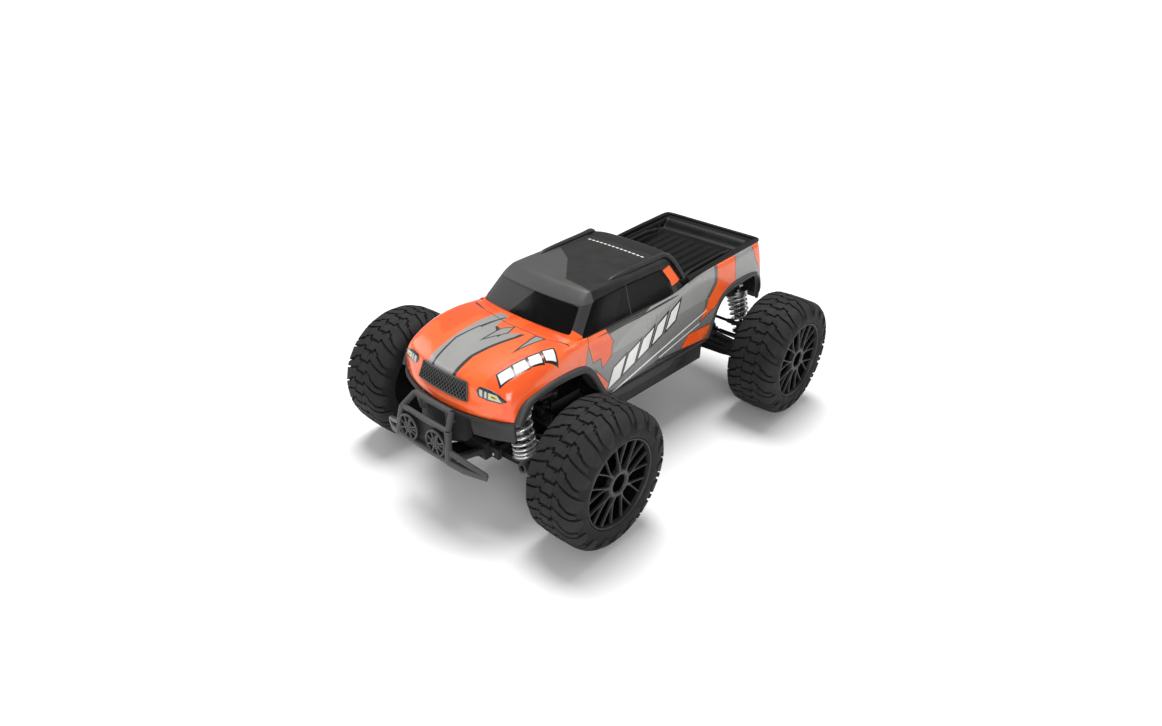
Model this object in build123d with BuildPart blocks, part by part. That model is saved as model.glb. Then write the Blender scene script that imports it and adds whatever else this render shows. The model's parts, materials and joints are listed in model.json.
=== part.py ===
from build123d import *
from math import cos, degrees, pi, radians, sin
import os

# A radio-controlled monster truck on four independently sprung wheels. Millimetres, +Z up.
# The nose faces -Y and the truck's left side is +X. The origin is on the ground, under the
# middle of the truck's overall box.

# ---- Driving dimensions -------------------------------------------------------------------
wheelbase = 296.0
tyre_radius = 62.5
tyre_width = 55.0
overall_width = 295.0
front_overhang = 89.5            # front axle to the tip of the bumper lamps
overall_length = wheelbase + front_overhang + tyre_radius
front_axle_y = front_overhang - overall_length / 2
rear_axle_y = front_axle_y + wheelbase
axle_z = tyre_radius

tyre_outer_x = overall_width / 2
tyre_inner_x = tyre_outer_x - tyre_width
tyre_wall = 4.5
rim_radius = 41.0
rim_wall = 3.0
rim_inner_x = tyre_inner_x + 2.5
rim_outer_x = tyre_outer_x - 3.0

# Suspension: every lateral link is the same length and level at rest, so they stay parallel.
link_length = 54.0
arm_inner_x = 24.0
arm_outer_x = arm_inner_x + link_length
lower_pivot_z = 46.0
upper_pivot_z = 82.0
kingpin_x = 88.0
drive_inner_x = kingpin_x - link_length
pin_radius = 1.5
running_gap = 0.05
side_gap = 0.3
boss_radius = 4.5
screw_radius = 3.0
screw_head = 1.4

# Distances behind an axle that differ between the two ends of the truck.
front_end = dict(axle_y=front_axle_y, outboard=-1, shock=23.5, tower=9.5,
                 shock_low=(60.0, 49.0), shock_top=(54.0, 116.0), post_top=145.4)
rear_end = dict(axle_y=rear_axle_y, outboard=1, shock=20.5, tower=6.5,
                shock_low=(66.0, 50.0), shock_top=(50.0, 112.0), post_top=149.4)
link_plane = {-1: 1.5, 1: -8.0}

# Steering
tie_rod_y = 26.0
tie_rod_z = 74.0
tie_eye_radius = 4.0
knuckle_low_z = 51.0
knuckle_high_z = 74.0
cup_radius = 6.5
cup_bore = 4.7
horn_x = 22.0
horn_length = 18.0
rack_half = drive_inner_x
rack_y = front_axle_y + tie_rod_y

# Shocks, measured down from the top eye along the shock
shock_eye_radius = 5.0
shock_eye_half = 3.5
shock_cap_top = 6.0
shock_cap_bottom = 13.0
shock_body_end = 38.0
shock_bore_top = 14.0
shock_body_radius = 6.5
shock_cap_radius = 10.5
shock_rod_radius = 1.75
shock_rod_cover = 11.5           # how much rod is inside the body at rest
shock_seat_from_eye = 11.5
shock_seat_thickness = 1.6
open_pivot_bore = 2.8
spring_radius = 9.2
spring_wire = 1.0
spring_turns = 6

# Drive train
shaft_radius = 2.5
gear_module = 0.8
spur_teeth = 44
pinion_teeth = 16
gear_width = 8.0
gear_y = 122.0
pinion_x = gear_module * (spur_teeth + pinion_teeth) / 2
motor_radius = 17.5
motor_front_y = 60.0
motor_back_y = 111.0

# Chassis
floor_low_z = 39.0
floor_high_z = 42.0
tub_half = 45.0
tub_wall = 2.5
tub_wall_top = 62.0
tub_front_y = -96.0
tub_back_y = 130.0
case_half = 19.0
case_top_z = 84.0

# Body shell
shell_wall = 1.6
body_lean = 1.5                  # degrees that the sides lean in
body_base_z = 70.0
deck_z = 146.0
roof_mid_z = 181.0
roof_slope = 2.0                 # degrees, rising to the rear


def save(piece, name):
    piece.label = name
    export_step(piece, "parts/" + name + ".step")


def save_sides(piece, name):
    save(piece, name + "_left")
    save(piece.mirror(Plane.YZ), name + "_right")


def lengthwise(y):
    """A sketch plane across the truck at y, with local x along X and local y along Z."""
    return Plane(origin=(0, y, 0), x_dir=(1, 0, 0), z_dir=(0, -1, 0))


def crosswise(x):
    """A sketch plane at x, with local x along Y and local y along Z."""
    return Plane(origin=(x, 0, 0), x_dir=(0, 1, 0), z_dir=(1, 0, 0))


def rod_y(x, z, radius, y_low, y_high, mode=Mode.ADD):
    with BuildSketch(lengthwise(y_high)) as face:
        with Locations((x, z)):
            Circle(radius)
    extrude(face.sketch, amount=y_high - y_low, mode=mode)


def rod_x(y, z, radius, x_low, x_high, mode=Mode.ADD):
    with BuildSketch(crosswise(x_low)) as face:
        with Locations((y, z)):
            Circle(radius)
    extrude(face.sketch, amount=x_high - x_low, mode=mode)


def rod_z(x, y, radius, z_low, z_high, mode=Mode.ADD):
    with BuildSketch(Plane.XY.offset(z_low)) as face:
        with Locations((x, y)):
            Circle(radius)
    extrude(face.sketch, amount=z_high - z_low, mode=mode)


def block(x_range, y_range, z_range, mode=Mode.ADD):
    with BuildSketch(Plane.XY.offset(z_range[0])) as face:
        with Locations(((x_range[0] + x_range[1]) / 2, (y_range[0] + y_range[1]) / 2)):
            Rectangle(x_range[1] - x_range[0], y_range[1] - y_range[0])
    extrude(face.sketch, amount=z_range[1] - z_range[0], mode=mode)


def bar(start, end, radius):
    """A round bar with ball ends between two points."""
    run = Vector(*end) - Vector(*start)
    with BuildSketch(Plane(origin=start, z_dir=run)) as face:
        Circle(radius)
    extrude(face.sketch, amount=run.length)
    for point in (start, end):
        with Locations(point):
            Sphere(radius)


def span(end, near, far):
    """The Y range between two distances on the outboard side of an end's axle."""
    a = end["axle_y"] + end["outboard"] * near
    b = end["axle_y"] + end["outboard"] * far
    return (min(a, b), max(a, b))


# ---- Wheels -------------------------------------------------------------------------------
def make_tyre(end):
    """A hollow tyre: its outside is the envelope of the lug tops."""
    middle_x = tyre_outer_x - tyre_width / 2
    y = end["axle_y"]
    with BuildPart() as tyre:
        with BuildSketch(Plane.XY.offset(axle_z)) as profile:
            with Locations((middle_x, y + (tyre_radius + rim_radius) / 2)):
                Rectangle(tyre_width, tyre_radius - rim_radius)
            crown = profile.vertices().group_by(Axis.Y)[-1]
            fillet(crown, radius=10.0)
            with Locations((middle_x, y + (tyre_radius + rim_radius) / 2 - tyre_wall)):
                Rectangle(tyre_width - 2 * tyre_wall, tyre_radius - rim_radius, mode=Mode.SUBTRACT)
        revolve(axis=Axis((0, y, axle_z), (1, 0, 0)))
    return tyre.part


def make_rim(end):
    """A deep one-piece wheel with ten spokes between the hub and the barrel."""
    y = end["axle_y"]
    hub_radius = 11.0
    face_x = rim_outer_x - 9.0
    web = 5.0
    with BuildPart() as rim:
        rod_x(y, axle_z, rim_radius, rim_inner_x, rim_outer_x)
        rod_x(y, axle_z, rim_radius - rim_wall, rim_inner_x, face_x - web, Mode.SUBTRACT)
        rod_x(y, axle_z, rim_radius - rim_wall, face_x, rim_outer_x, Mode.SUBTRACT)
        with BuildSketch(crosswise(face_x - web)):
            with Locations((y, axle_z)):
                with PolarLocations(0, 10):
                    Polygon((hub_radius + 2.5, 0), (24, 3.2), (rim_radius - 5, 7.0),
                            (rim_radius - 4, 0), (rim_radius - 5, -7.0), (24, -3.2), align=None)
        extrude(amount=web, mode=Mode.SUBTRACT)
        rod_x(y, axle_z, hub_radius, 106.0, face_x)
        rod_x(y, axle_z, 7.0, 117.0, face_x, Mode.SUBTRACT)
        rod_x(y, axle_z, shaft_radius, 105.0, face_x, Mode.SUBTRACT)
    return rim.part


def make_wheel_axle(end):
    """Drive cup, stub shaft, drive hex and wheel nut of one wheel."""
    y = end["axle_y"]
    with BuildPart() as axle:
        rod_x(y, axle_z, cup_radius, 84.0, 93.5)
        rod_x(y, axle_z, cup_bore, 83.0, 92.5, Mode.SUBTRACT)
        rod_x(y, axle_z, shaft_radius, 93.5, 124.0)
        with BuildSketch(crosswise(100.6)):
            with Locations((y, axle_z)):
                RegularPolygon(radius=6.0, side_count=6, major_radius=False)
        extrude(amount=5.4)
        with BuildSketch(crosswise(117.0)):
            with Locations((y, axle_z)):
                RegularPolygon(radius=4.0, side_count=6, major_radius=False)
        extrude(amount=5.0)
    return axle.part


# ---- Suspension ---------------------------------------------------------------------------
def make_lower_arm(end):
    """An A-arm with two hinge barrels, two windows, outer ears and a pin for the shock."""
    y = end["axle_y"]
    out = end["outboard"]
    low_x, low_z = end["shock_low"]
    plate_low = lower_pivot_z - 3.0
    ear_inner = 6.3
    ear_outer = 10.0
    shock_face = end["shock"] - shock_eye_half - 1.0
    outline = [(arm_inner_x, -16.4), (62.0, -13.5), (72.5, -ear_outer), (72.5, ear_outer),
               (low_x + 4.0, shock_face), (low_x - 6.0, shock_face), (arm_inner_x, 21.4)]
    with BuildPart() as arm:
        with BuildSketch(Plane.XY.offset(plate_low)):
            Polygon(*[(px, y + out * py) for px, py in outline], align=None)
        extrude(amount=6.0)
        with BuildSketch(Plane.XY.offset(plate_low)):
            Polygon(*[(px, y + out * py) for px, py in [(34, -9), (34, -1), (60, -5), (60, -8)]],
                    align=None)
            Polygon(*[(px, y + out * py) for px, py in [(34, 4), (34, 13), (57, 9), (57, 0)]],
                    align=None)
        extrude(amount=6.0, mode=Mode.SUBTRACT)
        rod_y(arm_inner_x, lower_pivot_z, boss_radius, *span(end, -16.4, 21.4))
        for side in (-1, 1):
            ear = span(end, side * ear_inner, side * ear_outer)
            rod_y(arm_outer_x, lower_pivot_z, boss_radius, *ear)
            block((68.0, arm_outer_x), ear, (lower_pivot_z - 4.0, lower_pivot_z + 4.0))
        block((72.0, arm_outer_x + boss_radius), span(end, -ear_inner, ear_inner),
              (plate_low - 2.0, lower_pivot_z + 6.0), Mode.SUBTRACT)
        rod_y(low_x, low_z, boss_radius, *span(end, shock_face - 6.0, shock_face))
        rod_y(arm_inner_x, lower_pivot_z, pin_radius + running_gap, *span(end, -30, 30),
              Mode.SUBTRACT)
        rod_y(arm_outer_x, lower_pivot_z, pin_radius + running_gap, *span(end, -12, 12),
              Mode.SUBTRACT)
        rod_y(low_x, low_z, pin_radius, *span(end, shock_face, end["shock"] + 5.0))
    return arm.part


def make_camber_link(end):
    """The upper link: a turnbuckle with an eye at each end."""
    mid = end["axle_y"] + link_plane[end["outboard"]]
    with BuildPart() as link:
        rod_x(mid, upper_pivot_z, 1.6, arm_inner_x, arm_outer_x)
        rod_x(mid, upper_pivot_z, 2.4, arm_inner_x + 4.0, arm_inner_x + 18.0)
        rod_x(mid, upper_pivot_z, 2.4, arm_outer_x - 18.0, arm_outer_x - 4.0)
        for x in (arm_inner_x, arm_outer_x):
            rod_y(x, upper_pivot_z, 3.8, mid - 2.5, mid + 2.5)
            rod_y(x, upper_pivot_z, pin_radius + running_gap, mid - 3, mid + 3, Mode.SUBTRACT)
    return link.part


def upper_ears(end, x_range, z_low):
    """Two ears and a pin that carry one end of the camber link."""
    mid = end["axle_y"] + link_plane[end["outboard"]]
    pivot_x = arm_inner_x if x_range[0] < arm_inner_x else arm_outer_x
    for side in (-1, 1):
        inner = mid + side * 2.8
        outer = mid + side * 6.0
        block(x_range, (min(inner, outer), max(inner, outer)), (z_low, upper_pivot_z + 3.6))
    rod_y(pivot_x, upper_pivot_z, pin_radius, mid - 6.0, mid + 6.0)


def carrier_plate(end):
    """What the front caster block and the rear hub carrier share: plate, boss, pin and ears."""
    y = end["axle_y"]
    mid = y + link_plane[end["outboard"]]
    block((72.0, 77.0), (y - 9.5, y + 9.5), (53.0, 75.0))
    block((72.0, 77.0), (min(y - 6, mid - 6), max(y + 6, mid + 6)), (74.0, 77.5))
    block((73.5, 77.0), (y - 6.0, y + 6.0), (lower_pivot_z, 54.0))
    rod_y(arm_outer_x, lower_pivot_z, 4.0, y - 6.0, y + 6.0)
    rod_y(arm_outer_x, lower_pivot_z, pin_radius, y - 10.5, y + 10.5)
    block((74.5, 81.5), (min(y - 6, mid - 6), max(y + 6, mid + 6)), (75.0, 77.5))
    upper_ears(end, (arm_outer_x - 3.5, arm_outer_x + 3.5), 77.0)


def make_caster_block(end):
    """A C-shaped block that holds the kingpins of the steered wheel."""
    y = end["axle_y"]
    with BuildPart() as caster:
        carrier_plate(end)
        for z_low, z_high in ((46.5, knuckle_low_z - side_gap), (knuckle_high_z + side_gap, 77.5)):
            block((74.0, kingpin_x), (y - 6.0, y + 6.0), (z_low, z_high))
            rod_z(kingpin_x, y, 6.0, z_low, z_high)
        rod_z(kingpin_x, y, pin_radius, 50.0, 54.5)
        rod_z(kingpin_x, y, pin_radius, 70.6, 75.0)
        rod_x(y, axle_z, 8.0, 70.0, 79.0, Mode.SUBTRACT)
    return caster.part


def make_knuckle(end):
    """The part that turns on the kingpins, carries the wheel and has the steering arm."""
    y = end["axle_y"]
    with BuildPart() as knuckle:
        rod_z(kingpin_x, y, 9.8, knuckle_low_z, knuckle_high_z)
        rod_x(y, axle_z, 9.5, kingpin_x, 100.0)
        block((kingpin_x - 4.0, kingpin_x + 4.0), (y + 6.0, y + tie_rod_y), (66.0, 69.5))
        rod_z(kingpin_x, y + tie_rod_y, 4.0, 66.0, 69.5)
        rod_z(kingpin_x, y + tie_rod_y, 1.4, 69.0, 78.0)
        rod_x(y, axle_z, cup_radius + side_gap, 77.0, 94.5, Mode.SUBTRACT)
        rod_x(y, axle_z, shaft_radius + running_gap, 94.0, 101.0, Mode.SUBTRACT)
        rod_z(kingpin_x, y, pin_radius + running_gap, knuckle_low_z - 1, 56.0, Mode.SUBTRACT)
        rod_z(kingpin_x, y, pin_radius + running_gap, 69.0, knuckle_high_z + 1, Mode.SUBTRACT)
    return knuckle.part


def make_hub_carrier(end):
    """The rear upright: one moulding from the arm to the wheel bearing."""
    y = end["axle_y"]
    with BuildPart() as carrier:
        carrier_plate(end)
        rod_x(y, axle_z, 9.8, 74.0, 94.5)
        rod_x(y, axle_z, 9.5, 94.0, 100.0)
        rod_x(y, axle_z, cup_radius + side_gap, 79.0, 94.5, Mode.SUBTRACT)
        rod_x(y, axle_z, 8.0, 70.0, 80.0, Mode.SUBTRACT)
        rod_x(y, axle_z, shaft_radius + running_gap, 94.0, 101.0, Mode.SUBTRACT)
    return carrier.part


def make_drive_shaft(end):
    """A dogbone: its ball ends sit in the gearbox cup and in the wheel axle's cup."""
    y = end["axle_y"]
    ball = 4.0
    middle_x = (drive_inner_x + kingpin_x) / 2
    with BuildPart() as shaft:
        with BuildSketch(Plane.XY.offset(axle_z)):
            with Locations((middle_x, y)):
                Rectangle(link_length, 3.5)
                Rectangle(link_length - 26.0, 5.0)
            with Locations((drive_inner_x, y), (kingpin_x, y)):
                Circle(ball)
            with Locations((middle_x, y - ball)):
                Rectangle(link_length + 4 * ball, 2 * ball, mode=Mode.SUBTRACT)
        revolve(axis=Axis((0, y, axle_z), (1, 0, 0)))
    return shaft.part


# ---- Shocks -------------------------------------------------------------------------------
def shock_frame(end):
    """The plane at the shock's top eye, with Z down along the shock, and the shock's length."""
    low = end["shock_low"]
    top = end["shock_top"]
    y = end["axle_y"] + end["outboard"] * end["shock"]
    down = Vector(low[0] - top[0], 0, low[1] - top[1])
    return Plane(origin=(top[0], y, top[1]), x_dir=(0, 1, 0), z_dir=down), down.length


def along(plane, radius, near, far, mode=Mode.ADD):
    with BuildSketch(plane.offset(near)) as face:
        Circle(radius)
    extrude(face.sketch, amount=far - near, mode=mode)


def eye(plane, at, radius, bore, half):
    """An eye whose hole runs along the truck, at a distance down the shock."""
    centre = plane.origin + plane.z_dir * at
    rod_y(centre.X, centre.Z, radius, centre.Y - half, centre.Y + half)
    rod_y(centre.X, centre.Z, bore, centre.Y - half - 1, centre.Y + half + 1, Mode.SUBTRACT)


def make_shock_body(end):
    plane = shock_frame(end)[0]
    with BuildPart() as body:
        along(plane, shock_body_radius, shock_cap_top, shock_body_end)
        along(plane, shock_cap_radius, shock_cap_top, shock_cap_bottom - 3.0)
        along(plane, shock_body_radius + 1.4, shock_cap_bottom - 3.0, shock_cap_bottom)
        along(plane, 3.4, 0.0, shock_cap_top)
        along(plane, shock_rod_radius + 0.1, shock_bore_top, shock_body_end + 1, Mode.SUBTRACT)
        eye(plane, 0.0, shock_eye_radius, pin_radius + 0.5 + running_gap, shock_eye_half)
    return body.part


def make_shock_shaft(end):
    plane, length = shock_frame(end)
    seat = length - shock_seat_from_eye
    with BuildPart() as shaft:
        along(plane, shock_rod_radius, shock_body_end - shock_rod_cover, length - 3.0)
        along(plane, spring_radius + 1.0, seat - shock_seat_thickness, seat)
        along(plane, 4.0, seat, length - 3.5)
        eye(plane, length, shock_eye_radius, open_pivot_bore, shock_eye_half)
    return shaft.part


def make_spring(end):
    """A coil from the collar under the cap down to the seat, with closed ends left square."""
    plane, length = shock_frame(end)
    top = shock_cap_bottom - 3.0 + spring_wire + 0.1
    height = length - shock_seat_from_eye - shock_seat_thickness - spring_wire - 0.1 - top
    start = plane.offset(top)
    with BuildPart() as spring:
        with BuildLine() as path:
            Helix(pitch=height / spring_turns, height=height, radius=spring_radius,
                  center=start.origin, direction=start.z_dir)
        with BuildSketch(Plane(origin=path.line @ 0, z_dir=path.line % 0)):
            Circle(spring_wire)
        sweep(path=path.line, is_frenet=True)
    return spring.part


# ---- Steering -----------------------------------------------------------------------------
def make_tie_rod():
    y = rack_y
    with BuildPart() as rod:
        rod_x(y, tie_rod_z, 1.8, rack_half, kingpin_x - 5.0)
        rod_y(rack_half, tie_rod_z, 3.6, y - 2.0, y + 2.0)
        rod_z(kingpin_x, y, tie_eye_radius + 2.5, tie_rod_z - 2.0, tie_rod_z + 2.0)
        rod_z(kingpin_x, y, tie_eye_radius, tie_rod_z - 3.0, tie_rod_z + 3.0, Mode.SUBTRACT)
        rod_y(rack_half, tie_rod_z, pin_radius + running_gap, y - 3.0, y + 3.0, Mode.SUBTRACT)
    return rod.part


def make_steering_rack():
    """The sliding cross bar, with a fork and pin at each end and a slotted tongue."""
    y = rack_y
    tongue_y = y + 12.0
    with BuildPart() as rack:
        block((-rack_half + 7, rack_half - 7), (y - 2.5, y + 2.5), (tie_rod_z - 2.5, tie_rod_z + 2.5))
        for side in (-1, 1):
            for face in (-1, 1):
                x_range = sorted((side * (rack_half - 9), side * (rack_half + 2.5)))
                y_range = sorted((y + face * 2.3, y + face * 4.3))
                block(x_range, y_range, (tie_rod_z - 2.5, tie_rod_z + 2.5))
            rod_y(side * rack_half, tie_rod_z, pin_radius, y - 4.3, y + 4.3)
        block((horn_x - 5.0, horn_x + 5.0), (y, tongue_y + 1.0), (tie_rod_z - 2.5, tie_rod_z))
        block((horn_x - 2.2, horn_x + 2.2), (y + 3.5, tongue_y - 1.0),
              (tie_rod_z - 3, tie_rod_z + 3), Mode.SUBTRACT)
    return rack.part


def horn_pivot_y():
    return rack_y + 6.0 + horn_length


def make_servo_horn():
    pivot = horn_pivot_y()
    pin_y = pivot - horn_length
    with BuildPart() as horn:
        rod_z(horn_x, pivot, 5.0, 75.2, 78.4)
        block((horn_x - 3.0, horn_x + 3.0), (pin_y, pivot), (75.2, 78.4))
        rod_z(horn_x, pin_y, 3.0, 75.2, 78.4)
        rod_z(horn_x, pin_y, 1.8, 70.5, 76.0)
        rod_z(horn_x, pivot, 2.0 + running_gap, 74.0, 79.0, Mode.SUBTRACT)
    return horn.part


def make_servo():
    pivot = horn_pivot_y()
    with BuildPart() as servo:
        block((horn_x - 9.5, horn_x + 9.5), (pivot - 10.0, pivot + 29.0), (floor_high_z, 72.0))
        edges = servo.edges().filter_by(Axis.Z)
        fillet(edges, radius=1.5)
        block((horn_x - 9.0, horn_x + 9.0), (pivot + 29.0, pivot + 34.0), (62.0, 64.5))
        rod_z(horn_x, pivot, 5.5, 71.5, 74.6)
        rod_z(horn_x, pivot, 2.0, 74.0, 79.4)
    return servo.part


# ---- Chassis ------------------------------------------------------------------------------
def screw_spots():
    """Places of the screw heads under the floor, on both sides of the middle."""
    spots = [(34.0, y) for y in (-60.0, 20.0, 100.0)]
    for end in (front_end, rear_end):
        spots += [(12.0, y) for y in span(end, -14.0, 16.0)]
    return [(side * x, y) for side in (-1, 1) for x, y in spots]


def make_chassis():
    """Floor pan with a raised rim, side guards on struts and the motor wall."""
    nose = front_axle_y - 31.0
    tail = rear_axle_y + 31.0
    half = [(case_half, nose), (case_half, front_axle_y + 24.0), (tub_half, tub_front_y),
            (tub_half, tub_back_y), (case_half, rear_axle_y - 19.0), (case_half, tail)]
    outline = half + [(-x, y) for x, y in reversed(half)]
    inner = [(tub_half - tub_wall, tub_front_y + 1.0), (tub_half - tub_wall, tub_back_y - 1.0)]
    inner_outline = [(20.0, front_axle_y + 26.0)] + inner + [(20.0, rear_axle_y - 21.0)]
    inner_outline += [(-x, y) for x, y in reversed(inner_outline)]
    guard = [(-44.0, 72.0), (-28.0, 54.0), (60.0, 54.0), (88.0, 74.0)]
    with BuildPart() as chassis:
        with BuildSketch(Plane.XY.offset(floor_low_z)):
            Polygon(*outline, align=None)
        extrude(amount=floor_high_z - floor_low_z)
        for x, y in screw_spots():
            rod_z(x, y, screw_radius, floor_low_z - 1.0, floor_low_z + screw_head, Mode.SUBTRACT)
        with BuildSketch(Plane.XY.offset(floor_high_z)):
            Polygon((tub_half, tub_front_y), (tub_half, tub_back_y), (-tub_half, tub_back_y),
                    (-tub_half, tub_front_y), align=None)
            Rectangle(2 * (tub_half - tub_wall), overall_length, mode=Mode.SUBTRACT)
        extrude(amount=tub_wall_top - floor_high_z)
        for side in (-1, 1):
            with BuildSketch(crosswise(side * 55.5)):
                Polygon(*guard, align=None)
            extrude(amount=1.5, both=True)
            for y in (-20.0, 20.0, 60.0):
                x_range = sorted((side * (tub_half - 1.0), side * 55.0))
                block(x_range, (y - 4.0, y + 4.0), (56.0, 60.0))
        block((-11.0, tub_half - 1.0), (motor_back_y, motor_back_y + 3.0), (floor_high_z, 81.0))
        rod_y(0, axle_z, shaft_radius + side_gap, 100, 120, Mode.SUBTRACT)
        rod_y(pinion_x, axle_z, 7.0, 100, 120, Mode.SUBTRACT)
        block((-tub_half + tub_wall, -3.5), (-52.0, -49.5), (floor_high_z, 54.0))
        block((-tub_half + tub_wall, -3.5), (52.5, 55.0), (floor_high_z, 54.0))
    return chassis.part


def make_gearbox(end):
    """Differential case with two hinge lugs, link ears and the two outdrive cups."""
    y = end["axle_y"]
    with BuildPart() as case:
        block((-case_half, case_half), span(end, -17.0, 22.0), (floor_high_z, case_top_z))
        upright = case.edges().filter_by(Axis.Z)
        fillet(upright, radius=3.0)
        for near, far in ((-20.5, -16.7), (21.7, 26.0)):
            block((-30.0, 30.0), span(end, near, far), (floor_high_z, 52.0))
        rod_x(y, axle_z, 9.0, -case_half - 3.0, case_half + 3.0)
        rod_x(y, axle_z, cup_radius, -drive_inner_x - 4.0, drive_inner_x + 4.0)
        for side in (-1, 1):
            x_range = sorted((side * 25.0, side * (drive_inner_x + 5.0)))
            rod_x(y, axle_z, cup_bore + 0.3, *x_range, Mode.SUBTRACT)
            rod_y(side * arm_inner_x, lower_pivot_z, pin_radius, *span(end, -22, 27), Mode.SUBTRACT)
            ears = sorted((side * 15.0, side * 27.6))
            mid = y + link_plane[end["outboard"]]
            for face in (-1, 1):
                y_range = sorted((mid + face * 2.8, mid + face * 6.0))
                block(ears, y_range, (77.0, upper_pivot_z + 3.6))
                rod_y(side * arm_inner_x, upper_pivot_z, pin_radius, *y_range, Mode.SUBTRACT)
        rod_y(0, axle_z, shaft_radius + running_gap, *span(end, -22, -12), Mode.SUBTRACT)
    return case.part


def make_tower(end):
    """Shock tower plate, its shock pins and the two posts that the body shell clips on."""
    top_x, top_z = end["shock_top"]
    plate = span(end, end["tower"] - 2.0, end["tower"] + 2.0)
    reach = end["shock"] + shock_eye_half + 1.5
    post_x = 32.0
    half = [(16.0, case_top_z), (18.0, 96.0), (top_x + 1.0, top_z - 9.0), (top_x + 5.0, top_z),
            (top_x + 1.0, top_z + 6.0), (top_x - 12.0, top_z + 8.0), (14.0, top_z - 2.0)]
    outline = half + [(-x, z) for x, z in reversed(half)]
    with BuildPart() as tower:
        with BuildSketch(lengthwise(plate[1])):
            Polygon(*outline, align=None)
            with Locations((0, 99.0)):
                SlotOverall(14.0, 7.0)
        extrude(amount=plate[1] - plate[0])
        block((-16.0, 16.0), span(end, end["tower"] - 2.0, end["tower"] + 6.0),
              (case_top_z, case_top_z + 4.0))
        for side in (-1, 1):
            rod_y(side * top_x, top_z, 4.0, *span(end, end["tower"], end["shock"] - 3.8))
            rod_y(side * top_x, top_z, pin_radius + 0.5, *span(end, end["tower"], reach))
            post_y = sum(plate) / 2
            rod_z(side * post_x, post_y, 3.0, top_z - 6.0, end["post_top"])
    return tower.part


def make_fasteners():
    """Hinge pins of the arms and links, and the screws under the chassis."""
    with BuildPart() as fasteners:
        for end in (front_end, rear_end):
            mid = end["axle_y"] + link_plane[end["outboard"]]
            for side in (-1, 1):
                rod_y(side * arm_inner_x, lower_pivot_z, pin_radius, *span(end, -21.5, 27.0))
                rod_y(side * arm_inner_x, upper_pivot_z, pin_radius, mid - 6.5, mid + 6.5)
        for x, y in screw_spots():
            rod_z(x, y, screw_radius - running_gap, floor_low_z, floor_low_z + screw_head)
    return fasteners.part


def make_bumper():
    """Bull bar: an upper window, two guarded lamps, a skid rail with swept wings, and brackets."""
    top = (22.9, -205.0, 108.5)
    middle = (28.8, -214.4, 96.5)
    bottom = (31.8, -216.4, 70.5)
    wing_tip = (63.0, -203.0, 62.5)
    lamp = (17.3, -216.5, 82.3)
    tip_y = -overall_length / 2
    with BuildPart() as bumper:
        for corner, radius in ((top, 2.1), (middle, 2.1), (bottom, 2.4)):
            bar((-corner[0], corner[1], corner[2]), corner, radius)
        bar((0, middle[1], middle[2]), (0, bottom[1], bottom[2]), 2.0)
        for side in (-1, 1):
            points = [(side * x, y, z) for x, y, z in (top, middle, bottom, wing_tip, lamp)]
            bar(points[0], points[1], 2.3)
            bar(points[1], points[2], 2.6)
            bar(points[2], points[3], 2.4)
            bar((side * 31.0, -215.5, 78.5), points[3], 2.2)
            bar(points[2], (side * 14.0, -164.5, 47.0), 2.6)
            rod_y(side * lamp[0], lamp[2], 11.5, tip_y + 2.0, tip_y + 9.5)
            rod_y(side * lamp[0], lamp[2], 9.3, tip_y - 1.0, tip_y + 5.0, Mode.SUBTRACT)
            block(sorted((side * lamp[0] - 1.0, side * lamp[0] + 1.0)), (tip_y, tip_y + 6.0),
                  (lamp[2] - 10.5, lamp[2] + 10.5))
            block(sorted((side * lamp[0] - 10.5, side * lamp[0] + 10.5)), (tip_y, tip_y + 6.0),
                  (lamp[2] - 1.0, lamp[2] + 1.0))
        block((-19.0, 19.0), (-166.0, front_axle_y - 26.5), (floor_high_z, 56.0))
    return bumper.part


# ---- Power and electronics ----------------------------------------------------------------
def make_motor():
    with BuildPart() as motor:
        rod_y(pinion_x, axle_z, motor_radius, motor_front_y, motor_back_y)
        rims = motor.edges().filter_by(GeomType.CIRCLE)
        fillet(rims, radius=2.0)
        rod_y(pinion_x, axle_z, 6.5, motor_back_y - 1.0, motor_back_y + 2.5)
        rod_y(pinion_x, axle_z, 1.5 + running_gap, motor_back_y - 12.0, motor_back_y + 4.0,
              Mode.SUBTRACT)
        rod_y(pinion_x, axle_z, 5.0, motor_front_y - 4.0, motor_front_y + 1.0)
    return motor.part


def gear_points(teeth):
    """Outline of a gear with straight-sided teeth, a little slimmer than their gaps."""
    pitch_radius = gear_module * teeth / 2
    step = 2 * pi / teeth
    corners = []
    for tooth in range(teeth):
        for share, radius in ((-0.27, pitch_radius - 0.95), (-0.12, pitch_radius + 0.7),
                              (0.12, pitch_radius + 0.7), (0.27, pitch_radius - 0.95)):
            angle = (tooth + share) * step
            corners.append((radius * cos(angle), radius * sin(angle)))
    return corners


def make_pinion():
    """The pinion and its motor shaft. A gap between teeth faces the spur gear."""
    half_tooth = pi / pinion_teeth
    with BuildPart() as pinion:
        rod_y(pinion_x, axle_z, 1.5, motor_back_y - 10.0, gear_y + 6.0)
        with BuildSketch(lengthwise(gear_y + gear_width / 2)):
            with Locations(Location((pinion_x, axle_z), degrees(half_tooth))):
                Polygon(*gear_points(pinion_teeth), align=None)
        extrude(amount=gear_width)
    return pinion.part


def make_centre_shaft():
    """The shaft between the two gearboxes, with the spur gear on it."""
    with BuildPart() as shaft:
        rod_y(0, axle_z, shaft_radius, front_axle_y + 13.0, rear_axle_y - 13.0)
        rod_y(0, axle_z, 6.0, gear_y - 7.0, gear_y + 7.0)
        with BuildSketch(lengthwise(gear_y + gear_width / 2)):
            with Locations((0, axle_z)):
                Polygon(*gear_points(spur_teeth), align=None)
        extrude(amount=gear_width)
    return shaft.part


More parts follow.
